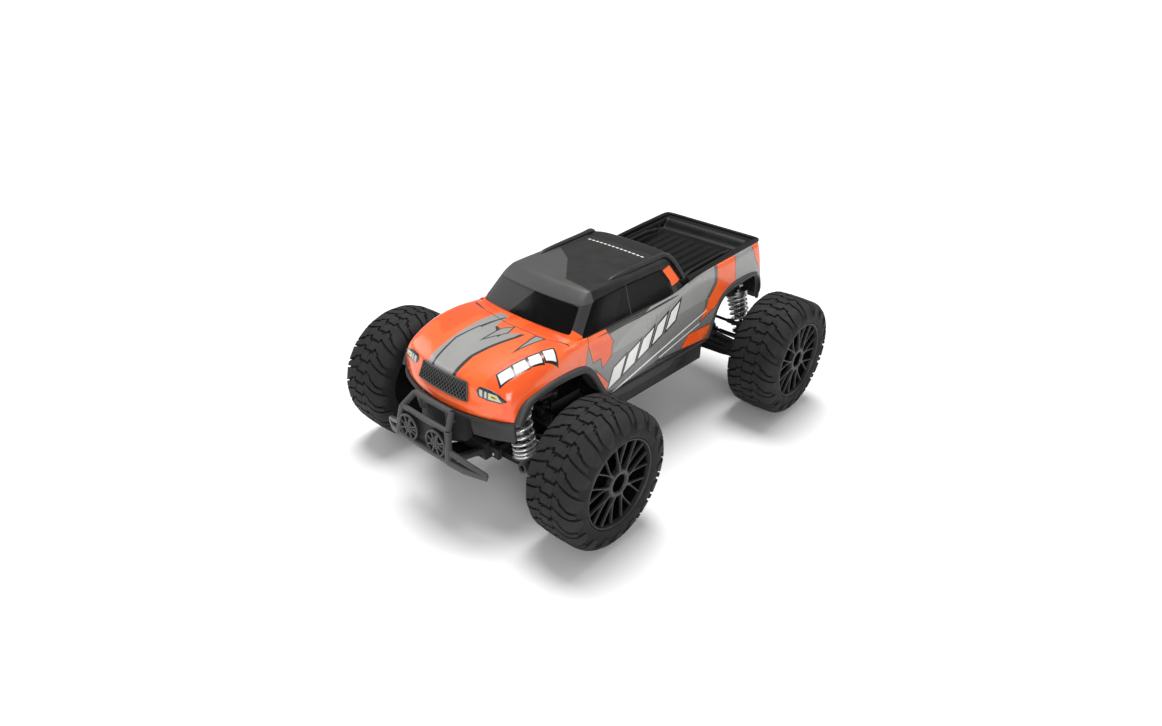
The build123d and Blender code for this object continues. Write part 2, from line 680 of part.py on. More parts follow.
def make_battery():
    with BuildPart() as battery:
        block((-42.0, -4.0), (-49.0, 52.0), (floor_high_z, 64.0))
        edges = battery.edges().filter_by(Axis.Y)
        fillet(edges, radius=4.0)
    return battery.part


def make_controller():
    with BuildPart() as box:
        block((8.0, 41.0), (-36.0, 14.0), (floor_high_z, 62.0))
        upright = box.edges().filter_by(Axis.Z)
        fillet(upright, radius=2.0)
        for step in range(6):
            x = 11.0 + 5.2 * step
            block((x, x + 2.0), (-30.0, 8.0), (61.0, 67.0))
    return box.part


# ---- Body shell ---------------------------------------------------------------------------
def body_side(inset):
    """Side view of the body below the windows: nose, bonnet, belt line, bed rails and tail."""
    points = [(-199.0, 70.0), (-198.5, 112.0), (-193.0, 131.5), (-178.0, 139.5), (-152.0, 147.0),
              (-126.0, 150.5), (-100.0, 150.8), (66.0, 152.0), (190.0, 161.5), (202.0, 148.0),
              (215.0, 92.0), (215.0, 70.0)]
    Polygon(*points, align=None)
    if inset:
        offset(amount=-inset, kind=Kind.INTERSECTION, mode=Mode.REPLACE)
        with Locations((0, 80.0)):
            Rectangle(390.0, 40.0)


def body_plan(inset):
    """Plan of the body at its base, with the rounded nose and the tapered tail."""
    half = [(30.0, -197.0), (53.0, -189.5), (68.5, -178.0), (68.0, -121.0), (64.0, -98.0),
            (63.0, -58.0), (62.5, 64.0), (62.0, 190.0), (60.0, 206.0), (50.0, 216.0)]
    left = [(0.0, -200.0)] + half
    Polygon(*(left + [(-x, y) for x, y in reversed(half)]), align=None)
    if inset:
        offset(amount=-inset, kind=Kind.INTERSECTION, mode=Mode.REPLACE)


def cab_outline(front_y, middle_y, rear_y, front_x, rear_x):
    Polygon((front_x, front_y), (rear_x, rear_y), (-rear_x, rear_y), (-front_x, front_y),
            (0.0, middle_y), align=None)


def body_form(inset):
    """The solid outer form of the body, or the form of its inside when inset by the wall."""
    roof = Plane(origin=(0, -13.0, roof_mid_z - inset), x_dir=(1, 0, 0),
                 z_dir=(0, -sin(radians(roof_slope)), cos(radians(roof_slope))))
    with BuildPart() as form:
        with BuildSketch(Plane.YZ):
            body_side(inset)
        extrude(amount=90.0, both=True)
        with BuildSketch(Plane.XY.offset(body_base_z - 15.0)):
            body_plan(inset)
        extrude(amount=140.0, taper=body_lean, mode=Mode.INTERSECT)
        with BuildSketch(Plane.XY.offset(deck_z)):
            cab_outline(-97.0 + inset, -103.0 + inset, 68.0 - inset, 54.5 - inset, 56.0 - inset)
        with BuildSketch(roof):
            cab_outline(-56.0 + inset, -60.0 + inset, 57.0 - inset, 48.5 - inset, 47.5 - inset)
        loft()
        with BuildSketch(Plane.YZ):
            Polygon((70.0 - inset, 147.0 - inset), (172.0 + inset, 153.5 - inset),
                    (190.0 + inset, 170.0), (70.0 - inset, 170.0), align=None)
        extrude(amount=51.0 + inset, both=True, mode=Mode.SUBTRACT)
    return form.part


def make_body_shell():
    """Thin painted shell: open below, with wheel arches, a shallow ribbed bed and roof rails."""
    front_arch = [(-58.2, 77.8), (-88.5, 119.4), (-121.5, 125.6), (-155.5, 123.0), (-169.5, 120.0),
                  (-180.0, 108.8), (-183.0, 104.5), (-215.0, 104.5), (-215.0, 50.0), (-58.2, 50.0)]
    rear_arch = [(109.0, 50.0), (109.0, 97.0), (118.0, 118.3), (124.0, 126.0), (140.0, 131.0),
                 (186.0, 131.5), (198.0, 122.0), (206.0, 104.0), (208.0, 92.0), (225.0, 92.0),
                 (225.0, 50.0)]
    inside = body_form(shell_wall)
    with BuildPart() as shell:
        add(body_form(0.0))
        add(inside, mode=Mode.SUBTRACT)
        with BuildSketch(Plane.YZ):
            Polygon(*front_arch, align=None)
            Polygon(*rear_arch, align=None)
            Polygon((-70.0, 50.0), (120.0, 50.0), (120.0, 77.3), (-70.0, 77.3), align=None)
        extrude(amount=90.0, both=True, mode=Mode.SUBTRACT)
        for side in (-1, 1):
            bar((side * 43.0, -37.0, 180.6), (side * 43.5, 40.0, 183.2), 2.1)
        for step in range(7):
            block((-36.0 + 12.0 * step - 1.2, -36.0 + 12.0 * step + 1.2), (80.0, 160.0),
                  (146.5, 152.8))
    return shell.part


os.makedirs("parts", exist_ok=True)

for end, place in ((front_end, "front"), (rear_end, "rear")):
    save_sides(make_tyre(end), place + "_tyre")
    save_sides(make_rim(end), place + "_wheel_rim")
    save_sides(make_wheel_axle(end), place + "_wheel_axle")
    save_sides(make_lower_arm(end), place + "_lower_arm")
    save_sides(make_camber_link(end), place + "_camber_link")
    save_sides(make_drive_shaft(end), place + "_drive_shaft")
    save_sides(make_shock_body(end), place + "_shock_body")
    save_sides(make_shock_shaft(end), place + "_shock_shaft")
    save_sides(make_spring(end), place + "_spring")
    save(make_gearbox(end), place + "_gearbox")
    save(make_tower(end), place + "_shock_tower")

save_sides(make_caster_block(front_end), "front_caster_block")
save_sides(make_knuckle(front_end), "front_steering_knuckle")
save_sides(make_hub_carrier(rear_end), "rear_hub_carrier")
save_sides(make_tie_rod(), "tie_rod")
save(make_steering_rack(), "steering_rack")
save(make_servo_horn(), "servo_horn")
save(make_servo(), "steering_servo")
save(make_chassis(), "chassis_tub")
save(make_fasteners(), "hinge_pins_and_screws")
save(make_bumper(), "front_bumper")
save(make_motor(), "drive_motor")
save(make_pinion(), "motor_pinion")
save(make_centre_shaft(), "centre_drive_shaft")
save(make_battery(), "battery_pack")
save(make_controller(), "speed_controller")
save(make_body_shell(), "body_shell")
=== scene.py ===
import json
from math import ceil, copysign, cos, hypot, pi, radians, sin

import bmesh
import bpy
from mathutils import Matrix, Vector
from mathutils.bvhtree import BVHTree


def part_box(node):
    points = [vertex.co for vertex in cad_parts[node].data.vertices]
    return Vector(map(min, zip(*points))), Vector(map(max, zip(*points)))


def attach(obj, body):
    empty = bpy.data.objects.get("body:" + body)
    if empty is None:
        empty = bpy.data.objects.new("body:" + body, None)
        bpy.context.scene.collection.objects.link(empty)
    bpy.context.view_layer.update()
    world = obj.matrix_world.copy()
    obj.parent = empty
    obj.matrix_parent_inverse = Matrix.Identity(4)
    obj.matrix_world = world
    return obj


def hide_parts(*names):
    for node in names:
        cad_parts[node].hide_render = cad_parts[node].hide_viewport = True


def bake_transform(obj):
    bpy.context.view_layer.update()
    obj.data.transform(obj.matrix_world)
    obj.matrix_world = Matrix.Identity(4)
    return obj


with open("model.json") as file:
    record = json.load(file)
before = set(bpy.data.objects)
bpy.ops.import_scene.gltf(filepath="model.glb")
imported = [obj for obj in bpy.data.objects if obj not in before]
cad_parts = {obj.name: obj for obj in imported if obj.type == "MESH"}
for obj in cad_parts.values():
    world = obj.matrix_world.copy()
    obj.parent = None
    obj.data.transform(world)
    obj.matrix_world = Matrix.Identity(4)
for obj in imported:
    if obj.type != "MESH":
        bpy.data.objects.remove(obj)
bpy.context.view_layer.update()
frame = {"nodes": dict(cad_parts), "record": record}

MM = 0.001
SIDES = (("left", 1), ("right", -1))
ENDS = ("front", "rear")


def middle(node):
    """Centre of a CAD node's box, in millimetres."""
    low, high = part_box(node)
    return [(a + b) / 2 / MM for a, b in zip(low, high)]


def add(name, data):
    made = bpy.data.objects.new(name, data)
    bpy.context.scene.collection.objects.link(made)
    return made


def place(name, bm, body, looks, smooth_angle=50.0):
    """Turns a bmesh in millimetres into a piece that rides on a body."""
    bmesh.ops.scale(bm, vec=(MM, MM, MM), verts=bm.verts)
    bmesh.ops.recalc_face_normals(bm, faces=bm.faces)
    mesh = bpy.data.meshes.new(name)
    bm.to_mesh(mesh)
    bm.free()
    for look in looks:
        mesh.materials.append(LOOKS[look])
    mesh.polygons.foreach_set("use_smooth", [True] * len(mesh.polygons))
    mesh.set_sharp_from_angle(angle=radians(smooth_angle))
    piece = add(name, mesh)
    if body:
        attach(piece, body)
    return piece


def modifier(piece, kind, **values):
    made = piece.modifiers.new(kind.lower(), kind)
    for key, value in values.items():
        setattr(made, key, value)


def bevel(piece, width, angle=30.0):
    modifier(piece, "BEVEL", width=width * MM, segments=2, limit_method="ANGLE", angle_limit=radians(angle))


def thicken(piece, wall, inner_slot=0):
    modifier(piece, "SOLIDIFY", thickness=wall * MM, material_offset=inner_slot)


def grey(value):
    return (value, value, value)


def ease(x, low, high):
    """0 below low, 1 above high, smooth between."""
    t = min(1, max(0, (x - low) / (high - low)))
    return t * t * (3 - 2 * t)


def track(points, x):
    """Height of an open outline of (x, value) points at x."""
    if x <= points[0][0]:
        return points[0][1]
    for (x0, v0), (x1, v1) in zip(points, points[1:]):
        if x <= x1:
            return v0 + (v1 - v0) * (x - x0) / (x1 - x0)
    return points[-1][1]


# ---- Mesh helpers --------------------------------------------------------------------------
def flip(side, points):
    """Points of the left side as they are for side 1, or mirrored to the right for side -1."""
    return [(side * x, y, z) for x, y, z in points]


def grid(bm, rows, closed=False, slot=0):
    """Quads between rows of points; rows all have the same number of points."""
    made = [[bm.verts.new(p) for p in row] for row in rows]
    for a, b in zip(made, made[1:]):
        pairs = list(zip(range(len(a)), list(range(1, len(a))) + [0]))
        for i, j in pairs if closed else pairs[:-1]:
            bm.faces.new((a[i], a[j], b[j], b[i])).material_index = slot
    return made


def loft(bm, rings, slot=0):
    """A skin through closed rings, with a cap on the first and the last."""
    made = grid(bm, rings, closed=True, slot=slot)
    for end in (made[0][::-1], made[-1]):
        bm.faces.new(end).material_index = slot


def spin(bm, profile, centre, segments=96, slot=0, closed=True, axis=0):
    """Revolves (along, radius) points round a line along X, or along Y for axis 1, through centre."""
    rows = []
    for step in range(segments):
        turn = 2 * pi * step / segments
        row = []
        for along, radius in profile:
            point = [centre[0] + radius * cos(turn), centre[1] + radius * sin(turn)]
            point.insert(axis, along)
            row.append(point)
        rows.append(row)
    made = grid(bm, rows + rows[:1], closed=closed, slot=slot)
    # A profile round Y may end at its line, so there all points are merged, not the seam alone.
    merged = made if axis else (made[0], made[-1])
    bmesh.ops.remove_doubles(bm, verts=[v for row in merged for v in row], dist=0.03 if axis else 1e-5)


def tube(bm, points, radius, sides=12, flat=1.0, square=2.0, loop=False, up=(0, 0, 1)):
    """Sweeps a rounded section along points. radius is one number or a list; square over 2 is boxier."""
    points = [Vector(p) for p in points]
    count = len(points)
    sizes = radius if isinstance(radius, (list, tuple)) else [radius] * count
    rings = []
    for i, point in enumerate(points):
        before = points[i - 1] if i or loop else point
        after = points[(i + 1) % count] if i + 1 < count or loop else point
        ahead = (after - before).normalized()
        side = ahead.cross(Vector(up))
        if side.length < 1e-3:
            side = ahead.cross(Vector((0, 1, 0)))
        side.normalize()
        over = side.cross(ahead).normalized()
        ring = []
        for step in range(sides):
            a = 2 * pi * (step + 0.5) / sides
            c, s = cos(a), sin(a)
            reach = (abs(c) ** square + abs(s) ** square) ** (-1 / square)
            ring.append(point + (side * c + over * s * flat) * reach * sizes[i])
        rings.append(ring)
    if loop:
        made = grid(bm, rings + rings[:1], closed=True)
        bmesh.ops.remove_doubles(bm, verts=made[0] + made[-1], dist=1e-5)
    else:
        loft(bm, rings)


# ---- Material helpers ----------------------------------------------------------------------
class Paint:
    """A node material with short names for the nodes that it uses most."""

    def __init__(self, name, roughness, metallic=0.0):
        self.material = bpy.data.materials.new(name)
        self.material.use_nodes = True
        self.tree = self.material.node_tree
        self.shader = self.tree.nodes["Principled BSDF"]
        self.set("Roughness", roughness)
        self.set("Metallic", metallic)
        self.place = self.node("TexCoord").outputs["Object"]
        parts = self.node("SeparateXYZ", (0, self.place))
        self.x, self.y, self.z = parts.outputs

    def node(self, kind, *links, **values):
        made = self.tree.nodes.new("ShaderNode" + kind)
        for key, value in values.items():
            setattr(made, key, value)
        for socket, value in links:
            self.plug(made.inputs[socket], value)
        return made

    def plug(self, socket, value):
        if isinstance(value, bpy.types.NodeSocket):
            self.tree.links.new(value, socket)
        else:
            socket.default_value = value

    def math(self, operation, a, b=0.0, clamp=False):
        return self.node("Math", (0, a), (1, b), operation=operation, use_clamp=clamp).outputs[0]

    def set(self, socket, value):
        self.plug(self.shader.inputs[socket], value)

    def noise(self, size, detail=3.0, stretch=(1, 1, 1), roughness=0.5):
        """Noise whose blobs are about size metres across."""
        scaled = self.node("Mapping", ("Vector", self.place), ("Scale", stretch))
        made = self.node("TexNoise", ("Vector", scaled.outputs[0]), ("Scale", 1 / size),
                         ("Detail", detail), ("Roughness", roughness))
        return made.outputs["Fac"]

    def mix(self, factor, a, b):
        """Mixes two colours, each a socket or (red, green, blue)."""
        made = self.node("Mix", ("Factor", factor), data_type="RGBA")
        colours = [socket for socket in made.inputs if socket.type == "RGBA"]
        for socket, value in zip(colours, (a, b)):
            self.plug(socket, value if isinstance(value, bpy.types.NodeSocket) else (*value, 1))
        return next(socket for socket in made.outputs if socket.type == "RGBA")

    def spread(self, socket, low=0, high=1, first=0.3, last=0.7):
        """Maps first-last of a value, by default most of a noise's range, to low-high."""
        made = self.node("MapRange", ("Value", socket), ("From Min", first),
                         ("From Max", last), ("To Min", low), ("To Max", high))
        return made.outputs[0]

    def edge_wear(self):
        """1 on convex edges, 0 on flats."""
        point = self.node("NewGeometry").outputs["Pointiness"]
        return self.spread(point, 0, 1, 0.50, 0.56)

    def flat_place(self, u, v):
        return self.node("CombineXYZ", (0, u), (1, v)).outputs[0]

    def inside(self, flat, outline):
        """Distance inside a convex outline given in millimetres, in metres, positive within."""
        area = sum(a[0] * b[1] - b[0] * a[1] for a, b in zip(outline, outline[1:] + outline[:1]))
        turn = 1.0 if area > 0 else -1.0
        result = None
        for a, b in zip(outline, outline[1:] + outline[:1]):
            length = hypot(b[0] - a[0], b[1] - a[1])
            normal = (-(b[1] - a[1]) / length * turn, (b[0] - a[0]) / length * turn, 0)
            offset = (normal[0] * a[0] + normal[1] * a[1]) * MM
            dot = self.node("VectorMath", (0, flat), (1, normal), operation="DOT_PRODUCT")
            distance = self.math("SUBTRACT", dot.outputs["Value"], offset)
            result = distance if result is None else self.math("MINIMUM", result, distance)
        return result

    def shape(self, flat, outlines):
        """Distance inside the union of convex outlines."""
        result = self.inside(flat, outlines[0])
        for outline in outlines[1:]:
            result = self.math("MAXIMUM", result, self.inside(flat, outline))
        return result

    def above(self, distance, grow=0.0, softness=0.2):
        """Mask of a distance, 1 within the shape grown by some millimetres."""
        scaled = self.math("MULTIPLY", distance, 1 / (softness * MM))
        return self.math("ADD", scaled, 0.5 + grow / softness, clamp=True)

    def prints(self, base, flat, layers):
        """Lays outlines over a base colour, each once for every (ink, growth in millimetres) after it."""
        for outlines, *coats in layers:
            distance = self.shape(flat, outlines)
            for ink, grow in coats:
                base = self.mix(self.above(distance, grow), base, ink)
        return base

    def finish(self, colour, roughness, height, depth, strength, shine=None, coat=None):
        """Sets the colour, roughness and bump, and where given the specular level and the coat."""
        self.set("Base Color", colour)
        self.set("Roughness", roughness)
        bump = self.node("Bump", ("Height", height), ("Distance", depth * MM), ("Strength", strength))
        self.set("Normal", bump.outputs[0])
        if shine is not None:
            self.set("Specular IOR Level", shine)
        if coat:
            self.set("Coat Weight", coat[0])
            self.set("Coat Roughness", coat[1])
        return self.material


def plain(name, colour, roughness, metallic=0.0, grain=0.4, depth=0.03, variation=0.2, wear=None,
          coat=None, stretch=(1, 1, 1), shine=0.25):
    """A moulded or machined surface: grain bump, cloudy colour and roughness, paler worn edges."""
    paint = Paint(name, roughness, metallic)
    cloud = paint.noise(0.02, 4)
    lighter = [min(1, c * (1 + variation)) for c in colour]
    darker = [c * (1 - variation) for c in colour]
    base = paint.mix(paint.spread(cloud), darker, lighter)
    if wear:
        base = paint.mix(paint.math("MULTIPLY", paint.edge_wear(), 0.6), base, wear)
    rough = paint.spread(cloud, roughness * 0.85, min(1, roughness * 1.15))
    return paint.finish(base, rough, paint.noise(grain * MM, 2, stretch), depth, 0.6,
                        None if metallic else shine, coat)


ORANGE = (0.90, 0.132, 0.026)
ORANGE_DEEP = (0.84, 0.085, 0.010)
GREY_LIGHT = (0.285, 0.285, 0.28)
GREY_MID = (0.115, 0.115, 0.114)
GREY_DARK = (0.028, 0.028, 0.027)
BLACK = grey(0.008)
WHITE = (0.80, 0.80, 0.79)
SEAM = (0.02, 0.012, 0.008)


def side_bars():
    """Slanted bars that climb to the rear along the door, each a four-cornered outline."""
    bars = []
    for step in range(5):
        start = -57.0 + 21.5 * step
        low = 85.5 + 7.4 * step
        end = start + 18.0 - 0.7 * step
        height = 20.0 - 0.6 * step
        bars.append([(start, low), (end - 1, low + 5.8), (end + 6.5, low + 5.8 + height),
                     (start + 7.5, low + height - 1)])
    return bars


def hood_bars():
    """Slanted bars that shorten towards the windscreen along the left edge of the bonnet."""
    bars = []
    for step in range(4):
        y = -174.0 + 13.6 * step
        x = 45.0 + 3.4 * step
        long = 11.4 - 0.8 * step
        bars.append([(x, y), (x + 8.4, y - 4.4), (x + 11.6, y + long - 4.4), (x + 3.2, y + long)])
    return bars


def bonnet_print(paint, orange):
    """A broad pale stripe with a dark left edge that ends in fingers, slim shapes, a seam and bars."""
    fingers = [[(-22.6, -190.9), (8.6, -190.9), (8.4, -170), (-23.6, -180.5)],
               [(-23.6, -181), (8.4, -170.4), (13.5, -154), (-22.9, -150)],
               [(-22.9, -150.5), (13.5, -154.4), (16, -146), (-4, -130), (-22.2, -131)],
               [(-22.2, -131.5), (-4, -130.5), (-7, -118), (-9.8, -108), (-19.5, -108)],
               [(7, -151), (14.6, -151), (21.5, -133), (22.6, -126), (12.6, -131)]]
    shadow = [[(x + 3, y + 0.8) for x, y in outline] for outline in fingers[:3] + fingers[4:]]
    seam = [[(-55, -106.8), (-50, -110.6), (-30, -115.6), (-47, -109)],
            [(-31, -115.6), (-31, -114.9), (0, -118.4), (0, -119.2)],
            [(0, -119.2), (0, -118.4), (44, -118.4), (44, -119.2)],
            [(42, -119.4), (63, -108), (60, -107.4), (46, -116.8)]]
    trims = [[(-17.2, -190.9), (-14.8, -190.9), (-19.2, -160), (-20.8, -160)],
             [(-20.8, -160.6), (-18.9, -160.6), (-14.2, -136), (-15.9, -137)],
             [(-15.6, -138), (-12.6, -138), (-8.6, -112), (-10.2, -112)]]
    blade = [[(2, -148), (12, -131.5), (9, -121), (3, -129)]]
    short = [[(37.6, -143), (42.5, -118.5), (35.2, -120)]]
    return paint.prints(orange, paint.flat_place(paint.x, paint.y), [
        (shadow, (GREY_DARK, 0.7)), (fingers, (GREY_LIGHT, 0)), (seam, (SEAM, 0)), (trims, (GREY_DARK, 0)),
        (blade, (GREY_DARK, 1.3), (GREY_LIGHT, 0)), (short, (GREY_DARK, 1.4), (GREY_LIGHT, 0)),
        (hood_bars(), (BLACK, 1.6), (WHITE, 0))])


def flank_print(paint, side, orange):
    """A pale band that climbs to the rear over a darker lower half, with orange flashes and bars."""
    belt = [[(-100, 160), (-100, 128), (-50, 126), (-37, 130), (-1, 143.2), (38, 145.5), (40, 160)]]
    band = [[(-60, 120), (-37, 131.5), (30, 155), (70, 160), (112, 162), (112, 128)]]
    front_flash = [[(-86, 143), (-84, 146), (-60, 146), (-51, 131), (-66, 122), (-80, 122)],
                   [(-70, 128), (-53, 131), (-54, 119), (-66, 111.5)],
                   [(-76, 112), (-68.8, 104.7), (-56.4, 91.4), (-57.5, 76), (-66, 76)]]
    rear_flash = [[(114, 170), (146, 170), (144.3, 132), (113, 141)],
                  [(113.5, 141.5), (144.5, 134), (122, 126), (101, 126.5)],
                  [(100.5, 127), (122, 127), (110, 113), (89, 104.5)],
                  [(176.7, 170), (230, 170), (230, 80), (203, 120), (190, 131)],
                  [(53, 80), (69.3, 96.4), (109, 95.2), (109, 78)]]
    curl = [[(108, 170), (114.5, 170), (113.5, 141), (107, 141)],
            [(107, 142), (113.5, 142), (100.5, 126), (94.5, 127.5)],
            [(94.5, 128), (100.5, 126.5), (98.5, 116), (93, 117)]]
    lower = [[(-60, 70), (-60, 79.5), (17, 87.5), (56, 84.5), (110, 79.5), (110, 70)]]
    lines = [[(-54, 77.5), (-52, 80), (99, 114.4), (97, 112.6)],
             [(20, 88), (21, 89.4), (88, 103.2), (87, 101.9)]]
    height = paint.math("MULTIPLY", paint.math("SUBTRACT", paint.z, 0.08), 14, clamp=True)
    return paint.prints(paint.mix(height, GREY_MID, GREY_LIGHT), side, [
        (belt, (GREY_DARK, 0)), (band, (GREY_LIGHT, 0)), (front_flash, (GREY_DARK, 0.9), (orange, 0)),
        (rear_flash, (GREY_DARK, 0.8), (orange, 0)), (curl, (GREY_MID, -0.6)), (lower, (GREY_DARK, 0)),
        (side_bars(), (BLACK, 1.9), (WHITE, 0)), (lines, (WHITE, 0))])


def body_paint():
    """Clouded orange and its prints. The wing's orange ends on a slanted line behind the front arch."""
    paint = Paint("painted_shell", 0.27)
    side = paint.flat_place(paint.y, paint.z)
    camo = paint.spread(paint.noise(0.028, 2, (1, 0.45, 1), 0.4), 0, 1, 0.50, 0.53)
    orange = paint.mix(paint.math("MULTIPLY", camo, 0.75), ORANGE, ORANGE_DEEP)
    wing = [[(-230, 175), (-83.5, 175), (-84.8, 142), (-90.5, 126.6), (-97, 119), (-230, 119)],
            [(-230, 120), (-150, 120), (-150, 95), (-230, 95)]]
    colour = paint.prints(flank_print(paint, side, orange), side,
                          [(wing, (BLACK, 0.7), (bonnet_print(paint, orange), 0))])
    rough = paint.spread(paint.noise(0.03, 3), 0.22, 0.34)
    return paint.finish(colour, rough, paint.noise(0.0025, 2), 0.02, 0.35, coat=(0.5, 0.08))


ROOF_LINE = 170.5


def roof_paint():
    """Dark cab with a paler patch and a row of dashes on the roof, and orange on parts of its posts."""
    paint = Paint("painted_roof", 0.3)
    top = paint.flat_place(paint.x, paint.y)
    side = paint.flat_place(paint.y, paint.z)
    patch = [[(-60, -100), (-60, 4), (-14, -28), (15, -62), (15, -100)],
             [(14, -100), (14, -63), (60, -67), (60, -100)]]
    dashes = [[(x, 23.6), (x + 3.2, 23.6), (x + 3.8, 25.4), (x + 0.6, 25.4)]
              for x in [-34.0 + 5.0 * i for i in range(14)]]
    pillar = [[(29.5, 171.5), (44.5, 174), (57.5, 157), (43, 155)]]
    front_foot = [[(-120, 153.5), (-94, 153.5), (-86, 146.5), (-86, 140), (-120, 140)]]
    rear = [[(50, 150), (30, 190), (90, 190), (90, 140), (56, 140)]]
    grain = paint.noise(0.015, 4)
    colour = paint.mix(paint.spread(grain), (0.0145, 0.0140, 0.0135), (0.0195, 0.0188, 0.0182))
    on_roof = paint.math("GREATER_THAN", paint.z, ROOF_LINE * MM)
    for outlines, softness, ink in ((patch, 1, (0.070, 0.070, 0.069)), (dashes, 0.2, WHITE)):
        mask = paint.above(paint.shape(top, outlines), 0, softness)
        colour = paint.mix(paint.math("MULTIPLY", mask, on_roof), colour, ink)
    colour = paint.mix(on_roof, grey(0.036), colour)
    colour = paint.prints(colour, side, [(rear, (BLACK, 0)), (front_foot, (ORANGE, 0)),
                                         (pillar, (BLACK, 0.8), (ORANGE, 0))])
    rough = paint.spread(grain, 0.32, 0.44)
    return paint.finish(colour, rough, paint.noise(0.002, 2), 0.02, 0.35, shine=0.24)


SCREEN_END = -79.0


def window_paint():
    """Near-black glass with a painted reflection as a paler slanting patch on the windscreen, and a soft
    painted reflection band and a fine post line on the side windows."""
    paint = Paint("window_black", 0.12)
    front = paint.flat_place(paint.x, paint.z)
    side = paint.flat_place(paint.y, paint.z)
    # The paler slanting patch on the windscreen is a painted reflection.
    patch = paint.inside(front, [(-70, 140), (-25, 140), (5, 178), (-70, 178)])
    # The soft paler band across the side windows is a painted reflection.
    sheen = paint.inside(side, [(-72, 140), (-48, 140), (-24, 180), (-48, 180)])
    post = [[(-22, 140), (-20.6, 140), (-22.6, 180), (-24, 180)]]
    grain = paint.noise(0.01, 3)
    at_front = paint.math("LESS_THAN", paint.y, SCREEN_END * MM)
    # Painted reflection: paler grey inside the slanting patch, on the windscreen only.
    where = paint.math("MULTIPLY", paint.above(patch), at_front)
    colour = paint.mix(where, paint.mix(grain, grey(0.0028), grey(0.0042)), grey(0.040))
    # Painted reflection: a soft paler band on the side windows.
    colour = paint.mix(paint.above(sheen, 0, 3), colour, grey(0.0085))
    colour = paint.prints(colour, side, [(post, (grey(0.035), 0))])
    return paint.finish(colour, paint.spread(grain, 0.10, 0.18), paint.noise(0.006, 2), 0.015, 0.2,
                        shine=0.14)


def rubber():
    paint = Paint("tyre_rubber", 0.62)
    base = paint.mix(paint.spread(paint.noise(0.03, 5)), grey(0.0092), grey(0.0132))
    base = paint.mix(paint.math("MULTIPLY", paint.edge_wear(), 0.5), base, grey(0.035))
    dust = paint.spread(paint.noise(0.006, 3), 0.60, 0.80)
    return paint.finish(base, dust, paint.noise(0.0009, 3), 0.05, 0.7, shine=0.14)


def lamp_print():
    """Printed headlight: black outline, pale wedges and a yellow-green corner."""
    paint = Paint("printed_headlight", 0.18)
    pale = [[(40, 124.2), (60, 123.6), (55, 128.6), (39, 130)]]
    yellow = [[(49, 125), (58, 124.6), (53.5, 128), (48, 128.2)]]
    cuts = [[(43, 120), (45, 120), (43.6, 135), (41.6, 135)],
            [(47, 120), (48.5, 120), (47, 135), (45.5, 135)],
            [(50.5, 125.8), (56, 125.4), (53.2, 127), (50, 127.2)]]
    flat = paint.flat_place(paint.math("ABSOLUTE", paint.x), paint.z)
    colour = paint.prints(grey(0.012), flat, [
        (pale, ((0.50, 0.53, 0.50), 0)), (yellow, ((0.62, 0.60, 0.10), 0)),
        (cuts, ((0.03, 0.03, 0.035), 0))])
    grain = paint.noise(0.002, 2)
    colour = paint.mix(paint.math("MULTIPLY", grain, 0.12), colour, grey(0.2))
    return paint.finish(colour, 0.18, grain, 0.02, 0.3, coat=(0.6, 0.05))


def wrap():
    """Heat-shrink sleeve of the battery, with soft darker bands across it."""
    paint = Paint("battery_wrap", 0.35)
    bands = paint.node("TexWave", ("Vector", paint.place), ("Scale", 3.4), ("Distortion", 0.4),
                       wave_type="BANDS", bands_direction="Y").outputs["Fac"]
    cloud = paint.noise(0.012, 4)
    base = paint.mix(paint.spread(cloud), (0.010, 0.030, 0.075), (0.016, 0.045, 0.105))
    colour = paint.mix(paint.math("MULTIPLY", bands, 0.3), base, (0.03, 0.03, 0.035))
    return paint.finish(colour, paint.spread(cloud, 0.28, 0.42), bands, 0.4, 0.5)


def floor_paint():
    paint = Paint("pale_floor", 0.7)
    paint.set("Base Color", paint.mix(paint.noise(0.2, 3), grey(0.86), grey(0.90)))
    return paint.material


